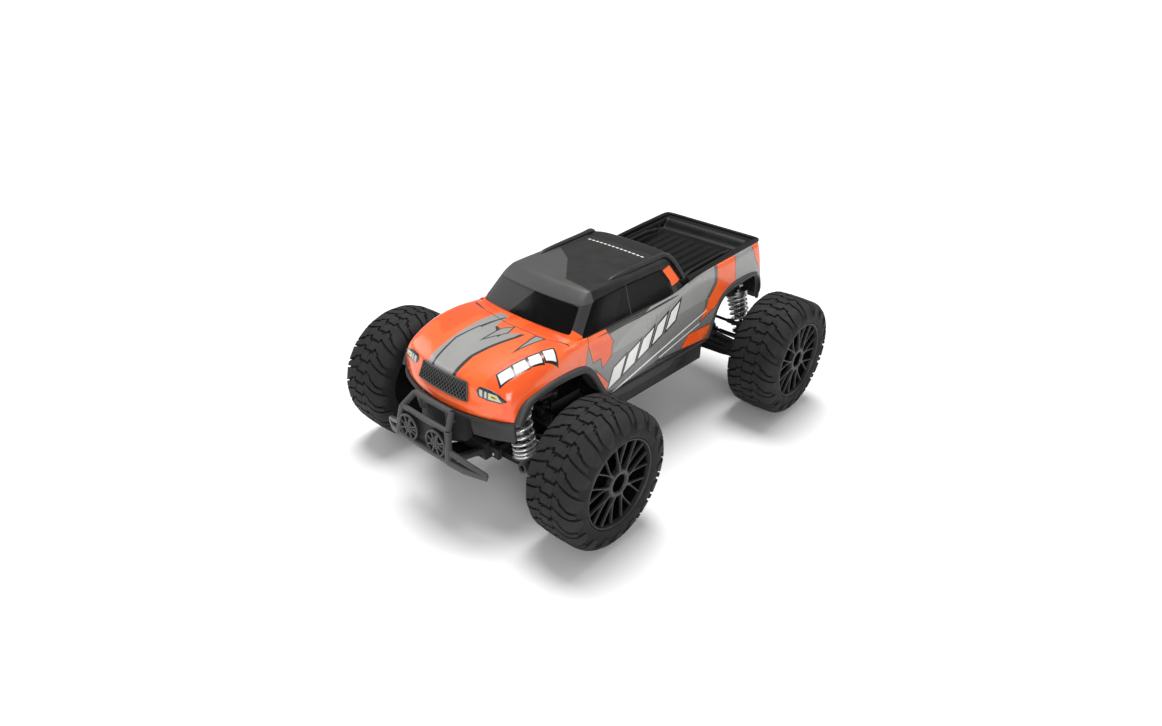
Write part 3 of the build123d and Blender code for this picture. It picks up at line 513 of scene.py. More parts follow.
LOOKS = {
    "floor": floor_paint(),
    "paint": body_paint(),
    "roof": roof_paint(),
    "window": window_paint(),
    "rubber": rubber(),
    "headlight": lamp_print(),
    "battery": wrap(),
    "inner": plain("shell_inside", grey(0.005), 0.55, grain=1.2),
    "rim": plain("rim_plastic", grey(0.016), 0.42, grain=0.5, wear=grey(0.035)),
    "well": plain("wheel_well", grey(0.0022), 0.6, shine=0.08, grain=0.8),
    "chassis": plain("chassis_plastic", grey(0.006), 0.50, shine=0.15, grain=0.7, depth=0.05,
                     wear=grey(0.04)),
    "bumper": plain("bumper_plastic", grey(0.021), 0.42, grain=0.6, depth=0.04, wear=grey(0.09)),
    "flare": plain("flare_plastic", grey(0.021), 0.52, grain=0.6, depth=0.05, wear=grey(0.08)),
    "bed": plain("bed_plastic", grey(0.0028), 0.32, shine=0.10, grain=0.8, wear=grey(0.025)),
    "rail": plain("rail_plastic", grey(0.011), 0.34, shine=0.3, grain=0.6, wear=grey(0.05)),
    "grille": plain("grille_mesh", grey(0.055), 0.38, grain=0.5, wear=grey(0.09)),
    "steel": plain("dark_steel", (0.10, 0.10, 0.105), 0.34, 1, grain=0.3, wear=grey(0.35)),
    "spring": plain("spring_steel", (0.72, 0.72, 0.73), 0.28, 0.7, depth=0.01, variation=0.08),
    "cup": plain("spring_cup", (0.030, 0.030, 0.031), 0.40, wear=grey(0.10)),
    "rod": plain("polished_rod", (0.66, 0.66, 0.67), 0.16, 1, grain=0.2, depth=0.006, variation=0.06,
                 stretch=(1, 1, 6)),
    "damper": plain("damper_body", (0.20, 0.20, 0.205), 0.30, 1, grain=0.3, depth=0.02, wear=grey(0.5)),
    "motor": plain("motor_can", (0.30, 0.30, 0.31), 0.30, 1, grain=0.3, depth=0.02, stretch=(1, 12, 1)),
    "case": plain("electronics_case", (0.018, 0.018, 0.020), 0.42, grain=0.5, depth=0.04, wear=grey(0.06)),
    "glass": plain("lamp_lens", (0.020, 0.020, 0.022), 0.12, grain=0.8, depth=0.04, coat=(0.6, 0.12)),
}


# ---- Body shell ----------------------------------------------------------------------------
SHELL = "body_shell"
AXLE_Y = {end: middle(end + "_tyre_left")[1] for end in ENDS}

# Each bonnet station: centre (y, z), crease point, shoulder, cheek and lower edge as (x, y, z).
bonnet_stations = [
    ((-196.6, 104.6), (66, -179.6, 104.6), (67.6, -178.2, 104.6), (68, -177.4, 104.6),
     (68.2, -176.6, 104.6)),
    ((-198.7, 108.6), (66.6, -179.4, 108.6), (68, -177.8, 108.6), (68.6, -176.4, 108.4),
     (68.8, -175.2, 108.2)),
    ((-197.4, 114), (66, -180.2, 114), (67.8, -177.6, 113.8), (68.6, -175.2, 113), (69, -172.6, 112.2)),
    ((-194.2, 116.8), (64.6, -182.2, 119), (67.2, -177.6, 118.2), (68.6, -173.8, 117.4),
     (69.2, -169.8, 116.4)),
    ((-192.4, 124), (62.2, -182.4, 126), (66, -176.6, 124.6), (68.4, -171.4, 122.2), (69.6, -166.6, 120)),
    ((-191.4, 131.6), (60.4, -179.6, 132.8), (65.4, -173.4, 129.6), (68.4, -167.6, 125.8),
     (70.2, -161.6, 121.9)),
    ((-184.5, 136.4), (60.8, -172, 138.2), (65.8, -166.8, 133.4), (69, -161.6, 128.6),
     (70.8, -155.5, 123.4)),
    ((-170, 141.8), (61.4, -160, 143.4), (66.6, -156.4, 137.6), (69.6, -152.4, 131.2), (71.2, -147.5, 125)),
    ((-150, 147.2), (62, -145, 147.6), (67.2, -142.4, 141.4), (69.8, -139.6, 133.8), (71.2, -137, 126.3)),
    ((-127, 150.5), (62.3, -126, 149.6), (67, -124.6, 143.6), (69.2, -123.2, 135.4), (70.6, -121.5, 126.4)),
    ((-110, 150.2), (61.8, -110, 149.2), (65.8, -109.6, 143.4), (67.6, -108.8, 134.8), (69, -107, 124.4)),
    ((-100.5, 149), (61.2, -98.5, 148), (64.8, -98, 142.4), (66.2, -97.2, 132.4), (67.2, -96.6, 121.6)),
]

# Each flank station behind the bonnet: top (y, z) and the point below it on the arch or sill.
flank_stations = [
    ((-92, 147), (-88.5, 119.4)), ((-84, 146.4), (-79, 110)), ((-74, 146), (-69.5, 95)),
    ((-63, 145.8), (-60, 82)), ((-52, 145.8), (-55, 77.4)), ((-25, 145.9), (-25, 77.3)),
    ((10, 146.3), (10, 77.3)), ((44, 147.4), (45, 77.3)), ((60, 151), (70, 77.3)),
    ((72, 154), (88, 77.3)), ((85, 156), (104, 79)), ((96, 157.2), (109, 90)),
    ((106, 158), (112, 106)), ((116, 158.6), (117.5, 118.4)), ((126, 159.1), (126, 126.6)),
    ((140, 159.9), (140, 130.8)), ((158, 160.9), (160, 132)), ((174, 161.8), (178, 131.8)),
    ((184, 162.4), (189, 129.5)), ((190.5, 162.6), (198, 121.5)), ((193.5, 162.2), (205.5, 104)),
]
# The tail turns inward: rim (x, y, z), widest point and the lower edge.
tail_stations = [
    ((60.2, 195.2, 161.6), (60.6, 203, 147.6), (60.4, 210, 92)),
    ((56.5, 196.6, 161.2), (56.8, 205.6, 147.6), (55, 213.4, 90.5)),
    ((42, 197.2, 161), (42, 206.6, 147.6), (40, 214.8, 90)),
    ((20, 197.4, 161), (20, 207, 147.6), (20, 215.2, 90)),
    ((0, 197.4, 161), (0, 207, 147.6), (0, 215.2, 90)),
]
crown_steps = (0, 0.16, 0.34, 0.46, 0.64, 0.82)


def flank_row(top, low):
    """Four points from the belt line down to the edge of the arch or sill, leaning in at the top."""
    arch = ease(abs(top[0] + 10), 50, 80) * ease(low[1], 78, 118)
    width = 61.2 + 0.6 * ease(top[0], 60, 120)
    row = []
    for part, bulge in ((0, 0), (0.15, 2.8), (0.55, 4), (1, 4.4)):
        y = top[0] + (low[0] - top[0]) * part
        z = top[1] + (low[1] - top[1]) * part
        row.append((width + bulge + 2.4 * arch * part ** 3, y, z))
    return row


def tail_row(rim, wide, low):
    return [Vector(rim), Vector(wide), Vector(wide).lerp(Vector(low), 0.5), Vector(low)]


def mirrored(rows):
    """The rows of the left half, then the same rows on the right, so one grid is the whole width."""
    return [flip(-1, reversed(row))[:-1] + list(row) for row in rows]


def make_shell():
    bm = bmesh.new()
    front = []
    for (centre_y, centre_z), crease, *outer in bonnet_stations:
        row = []
        for part in crown_steps:
            y = centre_y + (crease[1] - centre_y) * part ** 2.3
            z = centre_z + (crease[2] - centre_z) * part ** 3.0 + 0.8 * sin(pi * part)
            row.append((crease[0] * part, y, z))
        front.append(row + [crease] + list(outer))
    grid(bm, mirrored(front))
    rows = [front[-1][len(crown_steps):]]
    rows += [flank_row(top, low) for top, low in flank_stations]
    rows += [tail_row(*station) for station in tail_stations]
    grid(bm, rows)
    grid(bm, [flip(-1, row) for row in rows])
    bmesh.ops.remove_doubles(bm, verts=bm.verts, dist=0.05)
    piece = place("shell_paint", bm, SHELL, ["paint", "inner"], 60)
    modifier(piece, "SUBSURF", levels=2)
    thicken(piece, 1.2, 1)
    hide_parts("body_shell")


def cab_ring(front, corner, side_front, side_rear, rear_corner, rear, heights):
    """Half a ring round the cab, from the middle of the front to the middle of the rear."""
    zf, zc, zs, zr = heights
    return [(0, front, zf), (corner[0] * 0.5, front + (corner[1] - front) * 0.22, zf),
            (corner[0] - 4, front + (corner[1] - front) * 0.72, zf), (corner[0], corner[1], zc),
            (side_front[0], side_front[1], zc + (zs - zc) * 0.2), (side_front[0], -22, zs),
            (side_rear[0], -18.5, zs), (side_rear[0], side_rear[1], zs + (zr - zs) * 0.6),
            (rear_corner[0], rear_corner[1], zr), (rear_corner[0] - 6, rear, zr), (0, rear, zr)]


def make_cab():
    bm = bmesh.new()
    rings = [
        cab_ring(-104, (60.4, -99), (62.6, -91), (62.8, 46), (61.4, 64), 70,
                 (146, 143, 141.5, 146.4)),
        cab_ring(-102.6, (55.6, -96.8), (58.8, -89.4), (59.2, 45), (58.6, 61.8), 66.8,
                 (151, 148.4, 146.2, 151.2)),
        cab_ring(-83.6, (49.8, -79.2), (51.6, -70), (51.2, 31), (50.4, 47.6), 58.8,
                 (170.6, 170.8, 174.6, 176.4)),
        cab_ring(-81, (49.2, -76.4), (50.4, -66), (50.2, 30), (49.4, 45.8), 57,
                 (173.8, 173.8, 177.4, 179.6)),
        cab_ring(-71.5, (47.4, -68), (48.2, -60), (47.6, 28), (46.6, 42.6), 54,
                 (179.8, 178.9, 180.2, 182.6)),
        cab_ring(-66, (44, -62.8), (44.4, -56), (43.8, 27), (42.6, 39.6), 50,
                 (180.6, 179.8, 181, 183)),
        cab_ring(-48, (16, -46), (16, -40), (16, 22), (16, 30), 34,
                 (181.3, 181.2, 182.2, 183.6)),
    ]
    made = grid(bm, mirrored_rings(rings), closed=True)
    close_roof(bm, made[-1])
    crease = bm.edges.layers.float.new("crease_edge")
    for ring, sharp in ((made[2], 0.25), (made[4], 0.35)):
        for a, b in zip(ring, ring[1:] + ring[:1]):
            bm.edges.get((a, b))[crease] = sharp
    piece = place("shell_cab", bm, SHELL, ["roof", "inner"], 60)
    modifier(piece, "SUBSURF", levels=2)
    thicken(piece, 1, 1)
    return piece


def rounded(outline, rounds=3):
    """A closed outline with its corners cut a few times, then divided into short steps."""
    line = [Vector(p) for p in outline]
    reach = 1.3
    for _ in range(rounds):
        cut = []
        for i, point in enumerate(line):
            for other in (line[i - 1], line[(i + 1) % len(line)]):
                step = other - point
                cut.append(point + step * min(0.3, reach / step.length))
        line = cut
        reach *= 0.42
    dense = []
    for point, other in zip(line, line[1:] + line[:1]):
        steps = max(1, ceil((other - point).length / 3.5))
        dense += [point.lerp(other, step / steps) for step in range(steps)]
    return dense


def make_pane(name, outline, start, ahead, surface):
    """A raised window laid on the cab. start(u, v) and ahead say where each point is cast from."""
    line = rounded(outline)
    centre = sum(line, Vector((0, 0))) / len(line)
    rows = []
    for share, lift in ((1, -0.7), (1, 0.15), (0.985, 0.42), (0.9, 0.42), (0.72, 0.42), (0.5, 0.42),
                        (0.25, 0.42)):
        row = []
        for point in line:
            u, v = centre.lerp(point, share)
            hit = surface.ray_cast(Vector(start(u, v)) * MM, ahead)
            row.append(hit[0] / MM - ahead * lift)
        rows.append(row)
    bm = bmesh.new()
    made = grid(bm, rows, closed=True)
    bm.faces.new(made[-1])
    bmesh.ops.triangulate(bm, faces=[f for f in bm.faces if len(f.verts) > 4])
    piece = place(name, bm, SHELL, ["window"])


def make_windows(cab):
    """Windscreen, two side windows and the rear window, cast onto the finished cab."""
    surface = BVHTree.FromObject(cab, bpy.context.evaluated_depsgraph_get())
    screen = [(-53, 150.2), (53, 150.2), (47.6, 170), (-47.6, 170)]
    make_pane("windscreen", screen, lambda u, v: (u, -150, v), Vector((0, 1, 0)), surface)
    rear = [(-44, 156), (44, 156), (40, 174.5), (-40, 174.5)]
    make_pane("rear_window", rear, lambda u, v: (u, 120, v), Vector((0, -1, 0)), surface)
    door = [(-89, 146.2), (-40, 147), (43.5, 147.6), (41.5, 160), (31, 174.2), (-30, 174),
            (-66, 171.8)]
    for side, way in SIDES:
        make_pane(f"side_window_{side}", door, lambda u, v, w=way: (150.0 * w, u, v), Vector((-way, 0, 0)),
                  surface)


def mirrored_rings(rings):
    """Whole rings from half rings that start and end on the middle plane."""
    return [half + flip(-1, half[-2:0:-1]) for half in rings]


def close_roof(bm, ring):
    """Fills the last ring with quads strung between its two sides."""
    for i in range(len(ring) // 2):
        corners = dict.fromkeys((ring[i], ring[i + 1], ring[-i - 1], ring[-i]))
        if len(corners) > 2:
            bm.faces.new(list(corners))


def arch_line(points):
    """Points along an arch, softened by repeated corner cutting at its bends."""
    line = [Vector(p) for p in points]
    for _ in range(2):
        cut = [line[0]]
        for a, b in zip(line, line[1:]):
            cut += [a.lerp(b, 0.25), a.lerp(b, 0.75)]
        line = cut + [line[-1]]
    return line


front_arch = [(71, -176, 104), (71, -172, 112.8), (70.8, -166.6, 119.6), (70.8, -155.5, 123.2),
              (70.8, -137, 126.2), (70.2, -121.5, 126.3), (68.6, -105, 124.2), (66.4, -90.5, 120.6),
              (65.2, -79, 109.8), (65, -69.5, 95), (65.2, -60.5, 82.4), (65.2, -56.5, 78)]
rear_arch = [(65.6, 104.5, 79.2), (65.8, 109.2, 90), (66.2, 112.4, 106), (66.8, 118, 118),
             (67.6, 126.5, 126.2), (68.2, 140, 130.6), (68, 160, 131.8), (67.2, 178, 131.6),
             (66, 189.5, 129), (64.4, 198.5, 121.4), (62.6, 205.5, 104.6), (60.8, 210, 92.4)]


def make_flares():
    """Dark lips along both wheel arches."""
    bm = bmesh.new()
    for side in (-1, 1):
        for line, wide in ((front_arch, 3.1), (rear_arch, 2.8)):
            path = flip(side, arch_line(line))
            count = len(path) - 1
            sizes = [wide * (0.75 + 0.35 * sin(pi * i / count)) for i in range(count + 1)]
            if line is front_arch:
                sizes = [size + 1.6 * ease(-p[1], 158, 174) for size, p in zip(sizes, path)]
            tube(bm, path, sizes, flat=0.9, square=2.8, up=(side, 0, 0))
    piece = place("wheel_arch_flares", bm, SHELL, ["flare"])


def make_liners():
    """Walls behind the arch lips that close the cab off from the wheels."""
    bm = bmesh.new()
    section = [(0, 0), (-11, 0.6), (-22, 1.4), (-22, 2.8), (-11, 2), (0, 1.4)]
    for side in (-1, 1):
        for line, keep in ((front_arch, lambda y: y > -112), (rear_arch, lambda y: y < 124)):
            back = 1 if line is front_arch else -1
            loft(bm, [[(side * (p.x + x), p.y + back * y, p.z) for x, y in section]
                      for p in arch_line(line) if keep(p.y)])
    piece = place("wheel_arch_liners", bm, SHELL, ["flare"])


def make_sills():
    bm = bmesh.new()
    for side in (-1, 1):
        rows = []
        for y in (-56, -50, -20, 20, 38, 44, 50, 80, 103):
            drop = 68.6 + 5.0 * ease(-y, 44, 56) + 6.4 * ease(y, 36, 50)
            section = [(65.2, 79.8), (66.8, 79), (67, drop + 3.2), (64.4, drop + 0.8), (62, drop),
                       (58.6, drop + 0.6), (58.4, drop + 2.6), (60, 79.4)]
            rows.append([(side * x, y, z) for x, z in section])
        loft(bm, rows)
    piece = place("side_sills", bm, SHELL, ["flare"], 30)
    bevel(piece, 0.6)


def make_valance():
    """The dark panel that drops below the nose beside the bull bar, and the lip under the grille."""
    bm = bmesh.new()
    outer = [(31, -192.6, -188.6), (40, -190, -186), (52, -185.6, -181.4), (62, -179.8, -176.6),
             (66, -176.4, -173.4)]
    for side in (-1, 1):
        rows = []
        for x, top_y, low_y in outer:
            rim = [Vector((x, top_y, 106.2)), Vector((x + 0.5, top_y - 0.8, 103.6)),
                   Vector((x, (top_y + low_y) / 2 - 1, 94)), Vector((x - 1, low_y, 83 + ease(x, 58, 67)))]
            rows.append(flip(side, rim + [p + Vector((0, 2.2, 0)) for p in reversed(rim)]))
        loft(bm, rows)
    lip = [(0, -198.9, 104.2), (30, -196.2, 104.2), (53, -188.4, 104.3), (64, -181.6, 104.4),
           (68.2, -176.6, 104.8)]
    tube(bm, arch_line(flip(-1, lip[:0:-1]) + lip), 1.7, sides=10, square=3.0)
    piece = place("nose_valance", bm, SHELL, ["flare"], 40)
    bevel(piece, 0.4)


def make_grille():
    """Recessed plate with a raised frame and a lattice of crossed wires."""
    bm = bmesh.new()
    foot, head, half_low, half_high = 116.8, 131.8, 30, 26.6

    def at(u, v, out):
        x = u * (half_low + (half_high - half_low) * v)
        z = foot + (head - foot) * v
        return (x, nose_y(abs(x), z) - out - 1.6 * ease(-v, -0.5, -0.05), z)

    plate = [[at(-1 + 0.1 * i, 0.125 * j, 0.25) for i in range(21)] for j in range(9)]
    grid(bm, plate, slot=1)
    for step in range(-8, 22):
        for lean in (-1, 1):
            line = []
            for j in range(9):
                v = j / 8
                u = lean * (-1 + 0.12 * step + 0.42 * v - 0.3)
                if abs(u) <= 1.0:
                    line.append(at(u, v, 0.95 if lean > 0 else 0.8))
            if len(line) > 1:
                tube(bm, line, 0.36, sides=6)
    frame_line = [(-1 + 0.125 * i, 0) for i in range(17)] + [(1 - 0.125 * i, 1) for i in range(17)]
    tube(bm, [at(u, v, 0.7) for u, v in frame_line], 0.8, sides=8, loop=True)
    piece = place("nose_grille", bm, SHELL, ["grille", "inner"], 40)


def make_headlights():
    """Thin printed lenses that lie on the corner of the nose."""
    bm = bmesh.new()
    outline = [(36, 127.6), (38.5, 131.2), (47, 131.4), (56, 129), (63, 124.6), (58, 122.4),
               (47, 122), (39, 123.4)]
    for side in (-1, 1):
        centre = Vector((49, nose_y(49, 126.5) - 0.7, 126.5))
        rim = [Vector((x, nose_y(x, z) - 0.25, z)) for x, z in outline]
        back = [p + Vector((0, 1.2, 0)) for p in rim]
        face = [[p.lerp(centre, share) + Vector((0, -0.35, 0)) for p in rim] for share in (0.12, 0.55)]
        loft(bm, [flip(side, row) for row in (back, rim, *face)])
    piece = place("headlight_lenses", bm, SHELL, ["headlight"], 30)


def nose_y(x, z):
    """How far forward the nose is at a given place across and up it."""
    part = x / 62.0
    centre = track([(114, -197.4), (116.8, -194.2), (124, -192.4), (131.6, -191.4)], z)
    edge = track([(114, -180.2), (119, -182.2), (126, -182.4), (132.8, -179.6)], z)
    return centre + (edge - centre) * part ** 2.3


def bed_height(x, y):
    """Ribbed floor that climbs to the rear, walls on three sides and rounded rims."""
    floor = 147.6 + 0.06 * (y - 70)
    rib = cos(2 * pi * x / 11)
    ridge = 1.5 * ease(rib, -0.15, 0.45) * ease(y, 78, 84) * ease(-y, -166, -160) * ease(-abs(x), -42, -39)
    rim = 154.4 + (y - 70) * 0.072
    wall = max(ease(abs(x), 49.5, 53), ease(y, 171.5, 188))
    step = 0.45 * ease(abs(x), 44.5, 47) * (1 - ease(y, 168, 171))
    return floor + ridge + (rim - floor) * min(1, max(wall, step))


def make_bed():
    bm = bmesh.new()
    grid(bm, [[(x * (1 - 0.02 * ease(y, 180, 195)), y, bed_height(x, y)) for x in range(-58, 59)]
              for y in range(61, 194, 2)])
    piece = place("cargo_bed_liner", bm, SHELL, ["bed"])
    thicken(piece, 1)


def make_rails():
    """Bed rails round the rim and inside it, and raised roof rails with a ledge beside each."""
    bm = bmesh.new()
    rim = [(58.6, 66, 155.6), (58.8, 90, 157), (59.2, 140, 160.8), (59.2, 180, 163.4),
           (59.6, 190, 163.7), (59.2, 195.4, 163.6), (54, 197.2, 163.4), (25, 197.6, 163.2),
           (0, 197.6, 163.2)]
    tube(bm, arch_line(rim + flip(-1, rim[-2::-1])), 2.5, flat=0.8, square=2.6)
    for side in (-1, 1):
        inner = [(side * 47.5, y, 150.4 + (y - 70) * 0.068 + 2.2 * ease(y, 78, 86) * ease(-y, -150, -142))
                 for y in range(74, 160, 6)]
        tube(bm, inner, 2.2, sides=10, square=3.0)
    piece = place("bed_rails", bm, SHELL, ["bed"])
    bm = bmesh.new()
    for side in (-1, 1):
        rail = [(43, -38.5, 179), (43, -36, 181.2), (43.6, -20, 182.4), (44.6, 10, 183.4),
                (45.2, 34, 184.2), (45.8, 40, 185), (47, 46, 183.6), (50.2, 53, 176.6),
                (53.6, 59.6, 165.4), (56.8, 65.6, 155.2)]
        sizes = [1.4, 2.2, 2.6, 2.7, 2.8, 3, 3.1, 3, 2.8, 2.4]
        tube(bm, [(side * x, y, z - 0.8) for x, y, z in rail], sizes, flat=0.8, square=2.5)
        ledge = [(side * x, y, z - 2.2) for x, y, z in
                 ((38.6, -33, 181.4), (39.2, -20, 182.2), (40.4, 10, 183.4), (41.2, 36, 184.2))]
        tube(bm, ledge, 1.3, sides=8, square=3.0)
    piece = place("roof_rails", bm, SHELL, ["rail"])
    modifier(piece, "SUBSURF", render_levels=1)


# ---- Wheels --------------------------------------------------------------------------------
PITCHES = 18
TREAD_TOP = 62.4
CARCASS = 60.5
TREAD_HALF = 17.0
SHOULDER = 10.4
LUG_FOOT = -3.6
DRAFT = 0.45


def tread_point(across, lift):
    """Point (x offset, radius) a distance across the tread from its middle, round the shoulder."""
    way = copysign(1, across)
    reach = abs(across)
    crown = 0.6 * (min(reach, TREAD_HALF) / TREAD_HALF) ** 2
    if reach <= TREAD_HALF:
        return way * reach, TREAD_TOP - crown + lift
    bend = (reach - TREAD_HALF) / SHOULDER
    radius = SHOULDER + lift
    centre = TREAD_TOP - 0.6 - SHOULDER
    if bend <= pi / 2:
        return way * (TREAD_HALF + radius * sin(bend)), centre + radius * cos(bend)
    down = reach - TREAD_HALF - SHOULDER * pi / 2
    return way * (TREAD_HALF + radius), centre - down


def lug(bm, hub, nodes, turn, way, top=0.0):
    """A tread block given as (across, first, last) in millimetres and shares of a pitch."""
    pitch = 2 * pi / PITCHES
    rings = []
    last = len(nodes) - 1
    for i, (across, first, end) in enumerate(nodes):
        ring = []
        slide = 1.2 * DRAFT * ((i == 0) - (i == last))
        for share, lift, tuck in ((first, LUG_FOOT, 0), (first, top, 1), (end, top, -1), (end, LUG_FOOT, 0)):
            angle = (turn + share) * pitch + tuck * DRAFT / TREAD_TOP
            x, r = tread_point(way * (across + (slide if tuck else 0)), lift)
            ring.append((hub[0] + x, hub[1] + r * cos(angle), hub[2] + r * sin(angle)))
        rings.append(ring)
    loft(bm, rings)


# Each block runs from the middle of the tread, in a hooked step, over the shoulder and down
# the sidewall. The ties fill the grooves in places, so that no groove runs on unbroken.
long_lug = [(-2.4, 0.03, 0.45), (5.2, 0.03, 0.45), (5.7, 0.03, 0.32), (6.7, 0.03, 0.32), (7.2, -0.10, 0.33),
            (12.6, 0.01, 0.44), (13.6, 0.03, 0.46), (14.2, 0.04, 0.55), (18, 0.09, 0.64), (21, 0.12, 0.74),
            (24, 0.16, 0.80), (27, 0.20, 0.82), (30, 0.24, 0.80), (33.6, 0.30, 0.76), (36.4, 0.36, 0.70)]
short_lug = [(3.6, 0.53, 0.96), (5.2, 0.53, 0.96), (5.7, 0.53, 0.83), (6.7, 0.53, 0.83), (7.2, 0.40, 0.83),
             (12.4, 0.51, 0.94), (13, 0.62, 0.95), (18, 0.72, 1.02), (21, 0.82, 1.06), (24, 0.87, 1.10),
             (27, 0.90, 1.13), (29.5, 0.96, 1.12)]
ties = ([(1.4, 0.60, 0.98), (4.6, 0.60, 0.98)], [(8.8, 0.31, 0.49), (10.8, 0.36, 0.53)],
        [(8.4, 0.80, 0.97), (10, 0.84, 1.01)], [(15.8, 0.54, 0.73), (16.8, 0.57, 0.75)])
TIE_DROP = -0.3


def make_tyre(end, side, way):
    name = f"{end}_tyre_{side}"
    hub = Vector(middle(name))
    bm = bmesh.new()
    bead = 40.2
    half = [(0, CARCASS), (9, CARCASS - 0.15), (TREAD_HALF, CARCASS - 0.7), (21.4, 58), (24.6, 55),
            (26.2, 51), (26.8, 48), (26.9, 45.4), (26.5, 43), (25.7, 41.2), (24.4, bead + 0.2),
            (22, bead)]
    profile = half[::-1] + [(-x, r) for x, r in half[1:]]
    spin(bm, [(hub.x + x, r) for x, r in profile] + [(hub.x, bead)], (hub.y, hub.z), 108)
    for turn in range(PITCHES):
        for face, shift in ((1, 0), (-1, 0.5)):
            for nodes in (long_lug, short_lug):
                lug(bm, hub, nodes, turn + shift, face * way)
            for nodes in ties:
                lug(bm, hub, nodes, turn + shift, face * way, TIE_DROP)
    piece = place(name.replace("tyre", "lugged_tyre"), bm, f"{end}_wheel_{side}", ["rubber"], 28)
    bevel(piece, 0.28, 40)
    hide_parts(name)


SPOKES = 9


def make_rim(end, side, way):
    """Deep wheel: stepped lip, dark barrel, and forked spokes that reach from the boss to the lip."""
    name = f"{end}_wheel_rim_{side}"
    tyre = middle(f"{end}_tyre_{side}")
    hub = (tyre[1], tyre[2])
    outer = tyre[0] + way * 24.6
    bm = bmesh.new()
    lip = [(0, 40), (0.5, 40.3), (0.9, 40), (0.9, 39.3), (0.5, 38.9), (-0.8, 38.6), (-2.2, 38),
           (-9, 37.8), (-30, 37), (-46, 37.2), (-49, 39.2), (-49.5, 40), (-48, 40.2)]
    well = [(-3, 37.7), (-9, 37.5), (-30, 36.7), (-44, 36.9), (-44, 13), (-44.6, 13),
            (-44.6, 37.1), (-30, 36.9), (-9, 37.7), (-3, 37.9)]
    boss = [(-5, 13.2), (-1.6, 12.8), (-0.6, 11.6), (-0.8, 8.8), (-2.2, 8)]
    core = [(-2.2, 8), (-44, 8), (-44, 12.4), (-5, 13.2)]
    for line, segments, slot in ((lip, 96, 0), (well, 96, 1), (boss, 48, 0), (core, 48, 1)):
        spin(bm, [(outer + way * x, r) for x, r in line], hub, segments, slot, line in (lip, well))

    def on_wheel(radius, angle, inset):
        return (outer + way * inset, hub[0] + radius * cos(angle), hub[1] + radius * sin(angle))

    for step in range(SPOKES):
        base = 2 * pi * step / SPOKES + pi / 2
        arm = [on_wheel(r, base, inset) for r, inset in ((11.6, -3.6), (15, -3.2), (18.4, -3.2))]
        tube(bm, arm, [2.2, 1.6, 1.4], flat=1.4, square=3.2, up=(1, 0, 0))
        for lean in (-1, 1):
            fork = [on_wheel(r, base + lean * radians(turn), inset) for r, turn, inset in
                    ((16.8, 0.9, -3.2), (23, 5.2, -3), (30, 8, -2.8), (38.2, 10, -2.6))]
            tube(bm, fork, [1.1, 0.85, 0.85, 1], sides=8, flat=1.7, square=3.0, up=(1, 0, 0))
    piece = place(name.replace("rim", "fork_rim"), bm, f"{end}_wheel_{side}",
                  ["rim", "well"], 35)
    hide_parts(name)


# ---- Suspension ----------------------------------------------------------------------------
def shock_line(end, side):
    """Upper eye, lower eye and the unit vector between them, from the boxes of both halves."""
    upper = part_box(f"{end}_shock_body_{side}")
    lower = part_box(f"{end}_shock_shaft_{side}")
    way = 1 if side == "left" else -1
    inner = min(abs(v[0]) for v in upper) / MM + 5.0
    outer = max(abs(v[0]) for v in lower) / MM - 5.0
    top = Vector((way * inner, (upper[0][1] + upper[1][1]) / 2 / MM, upper[1][2] / MM - 5))
    foot = Vector((way * outer, (lower[0][1] + lower[1][1]) / 2 / MM, lower[0][2] / MM + 5))
    return top, foot, (foot - top).normalized()


def make_spring(end, side):
    """Coil wound closer towards its foot in front, and a little closer towards its top at the rear."""
    top, foot, down = shock_line(end, side)
    name = f"{end}_spring_{side}"
    start = top + down * 11.2
    length = (foot - top).length - 11.5 - 1.6 - 1.1 - 11.2
    sideways = down.cross(Vector((0, 1, 0))).normalized()
    across = down.cross(sideways).normalized()
    turns, per_turn = 7.5, 22
    coil, wire = (9.4, 1.25) if end == "front" else (10, 1.35)
    count = int(turns * per_turn)
    path = []
    for step in range(count + 1):
        part = step / count
        rise = part + 0.16 * sin(pi * part) * (1 if end == "front" else -0.4)
        angle = 2 * pi * turns * part
        turned = (sideways * cos(angle) + across * sin(angle)) * coil
        path.append(start + down * (length * rise) + turned)
    bm = bmesh.new()
    tube(bm, path, wire, sides=10, up=down)
    piece = place(name.replace("spring", "coil"), bm, None, ["spring"], 60)
    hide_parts(name)
    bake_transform(piece)


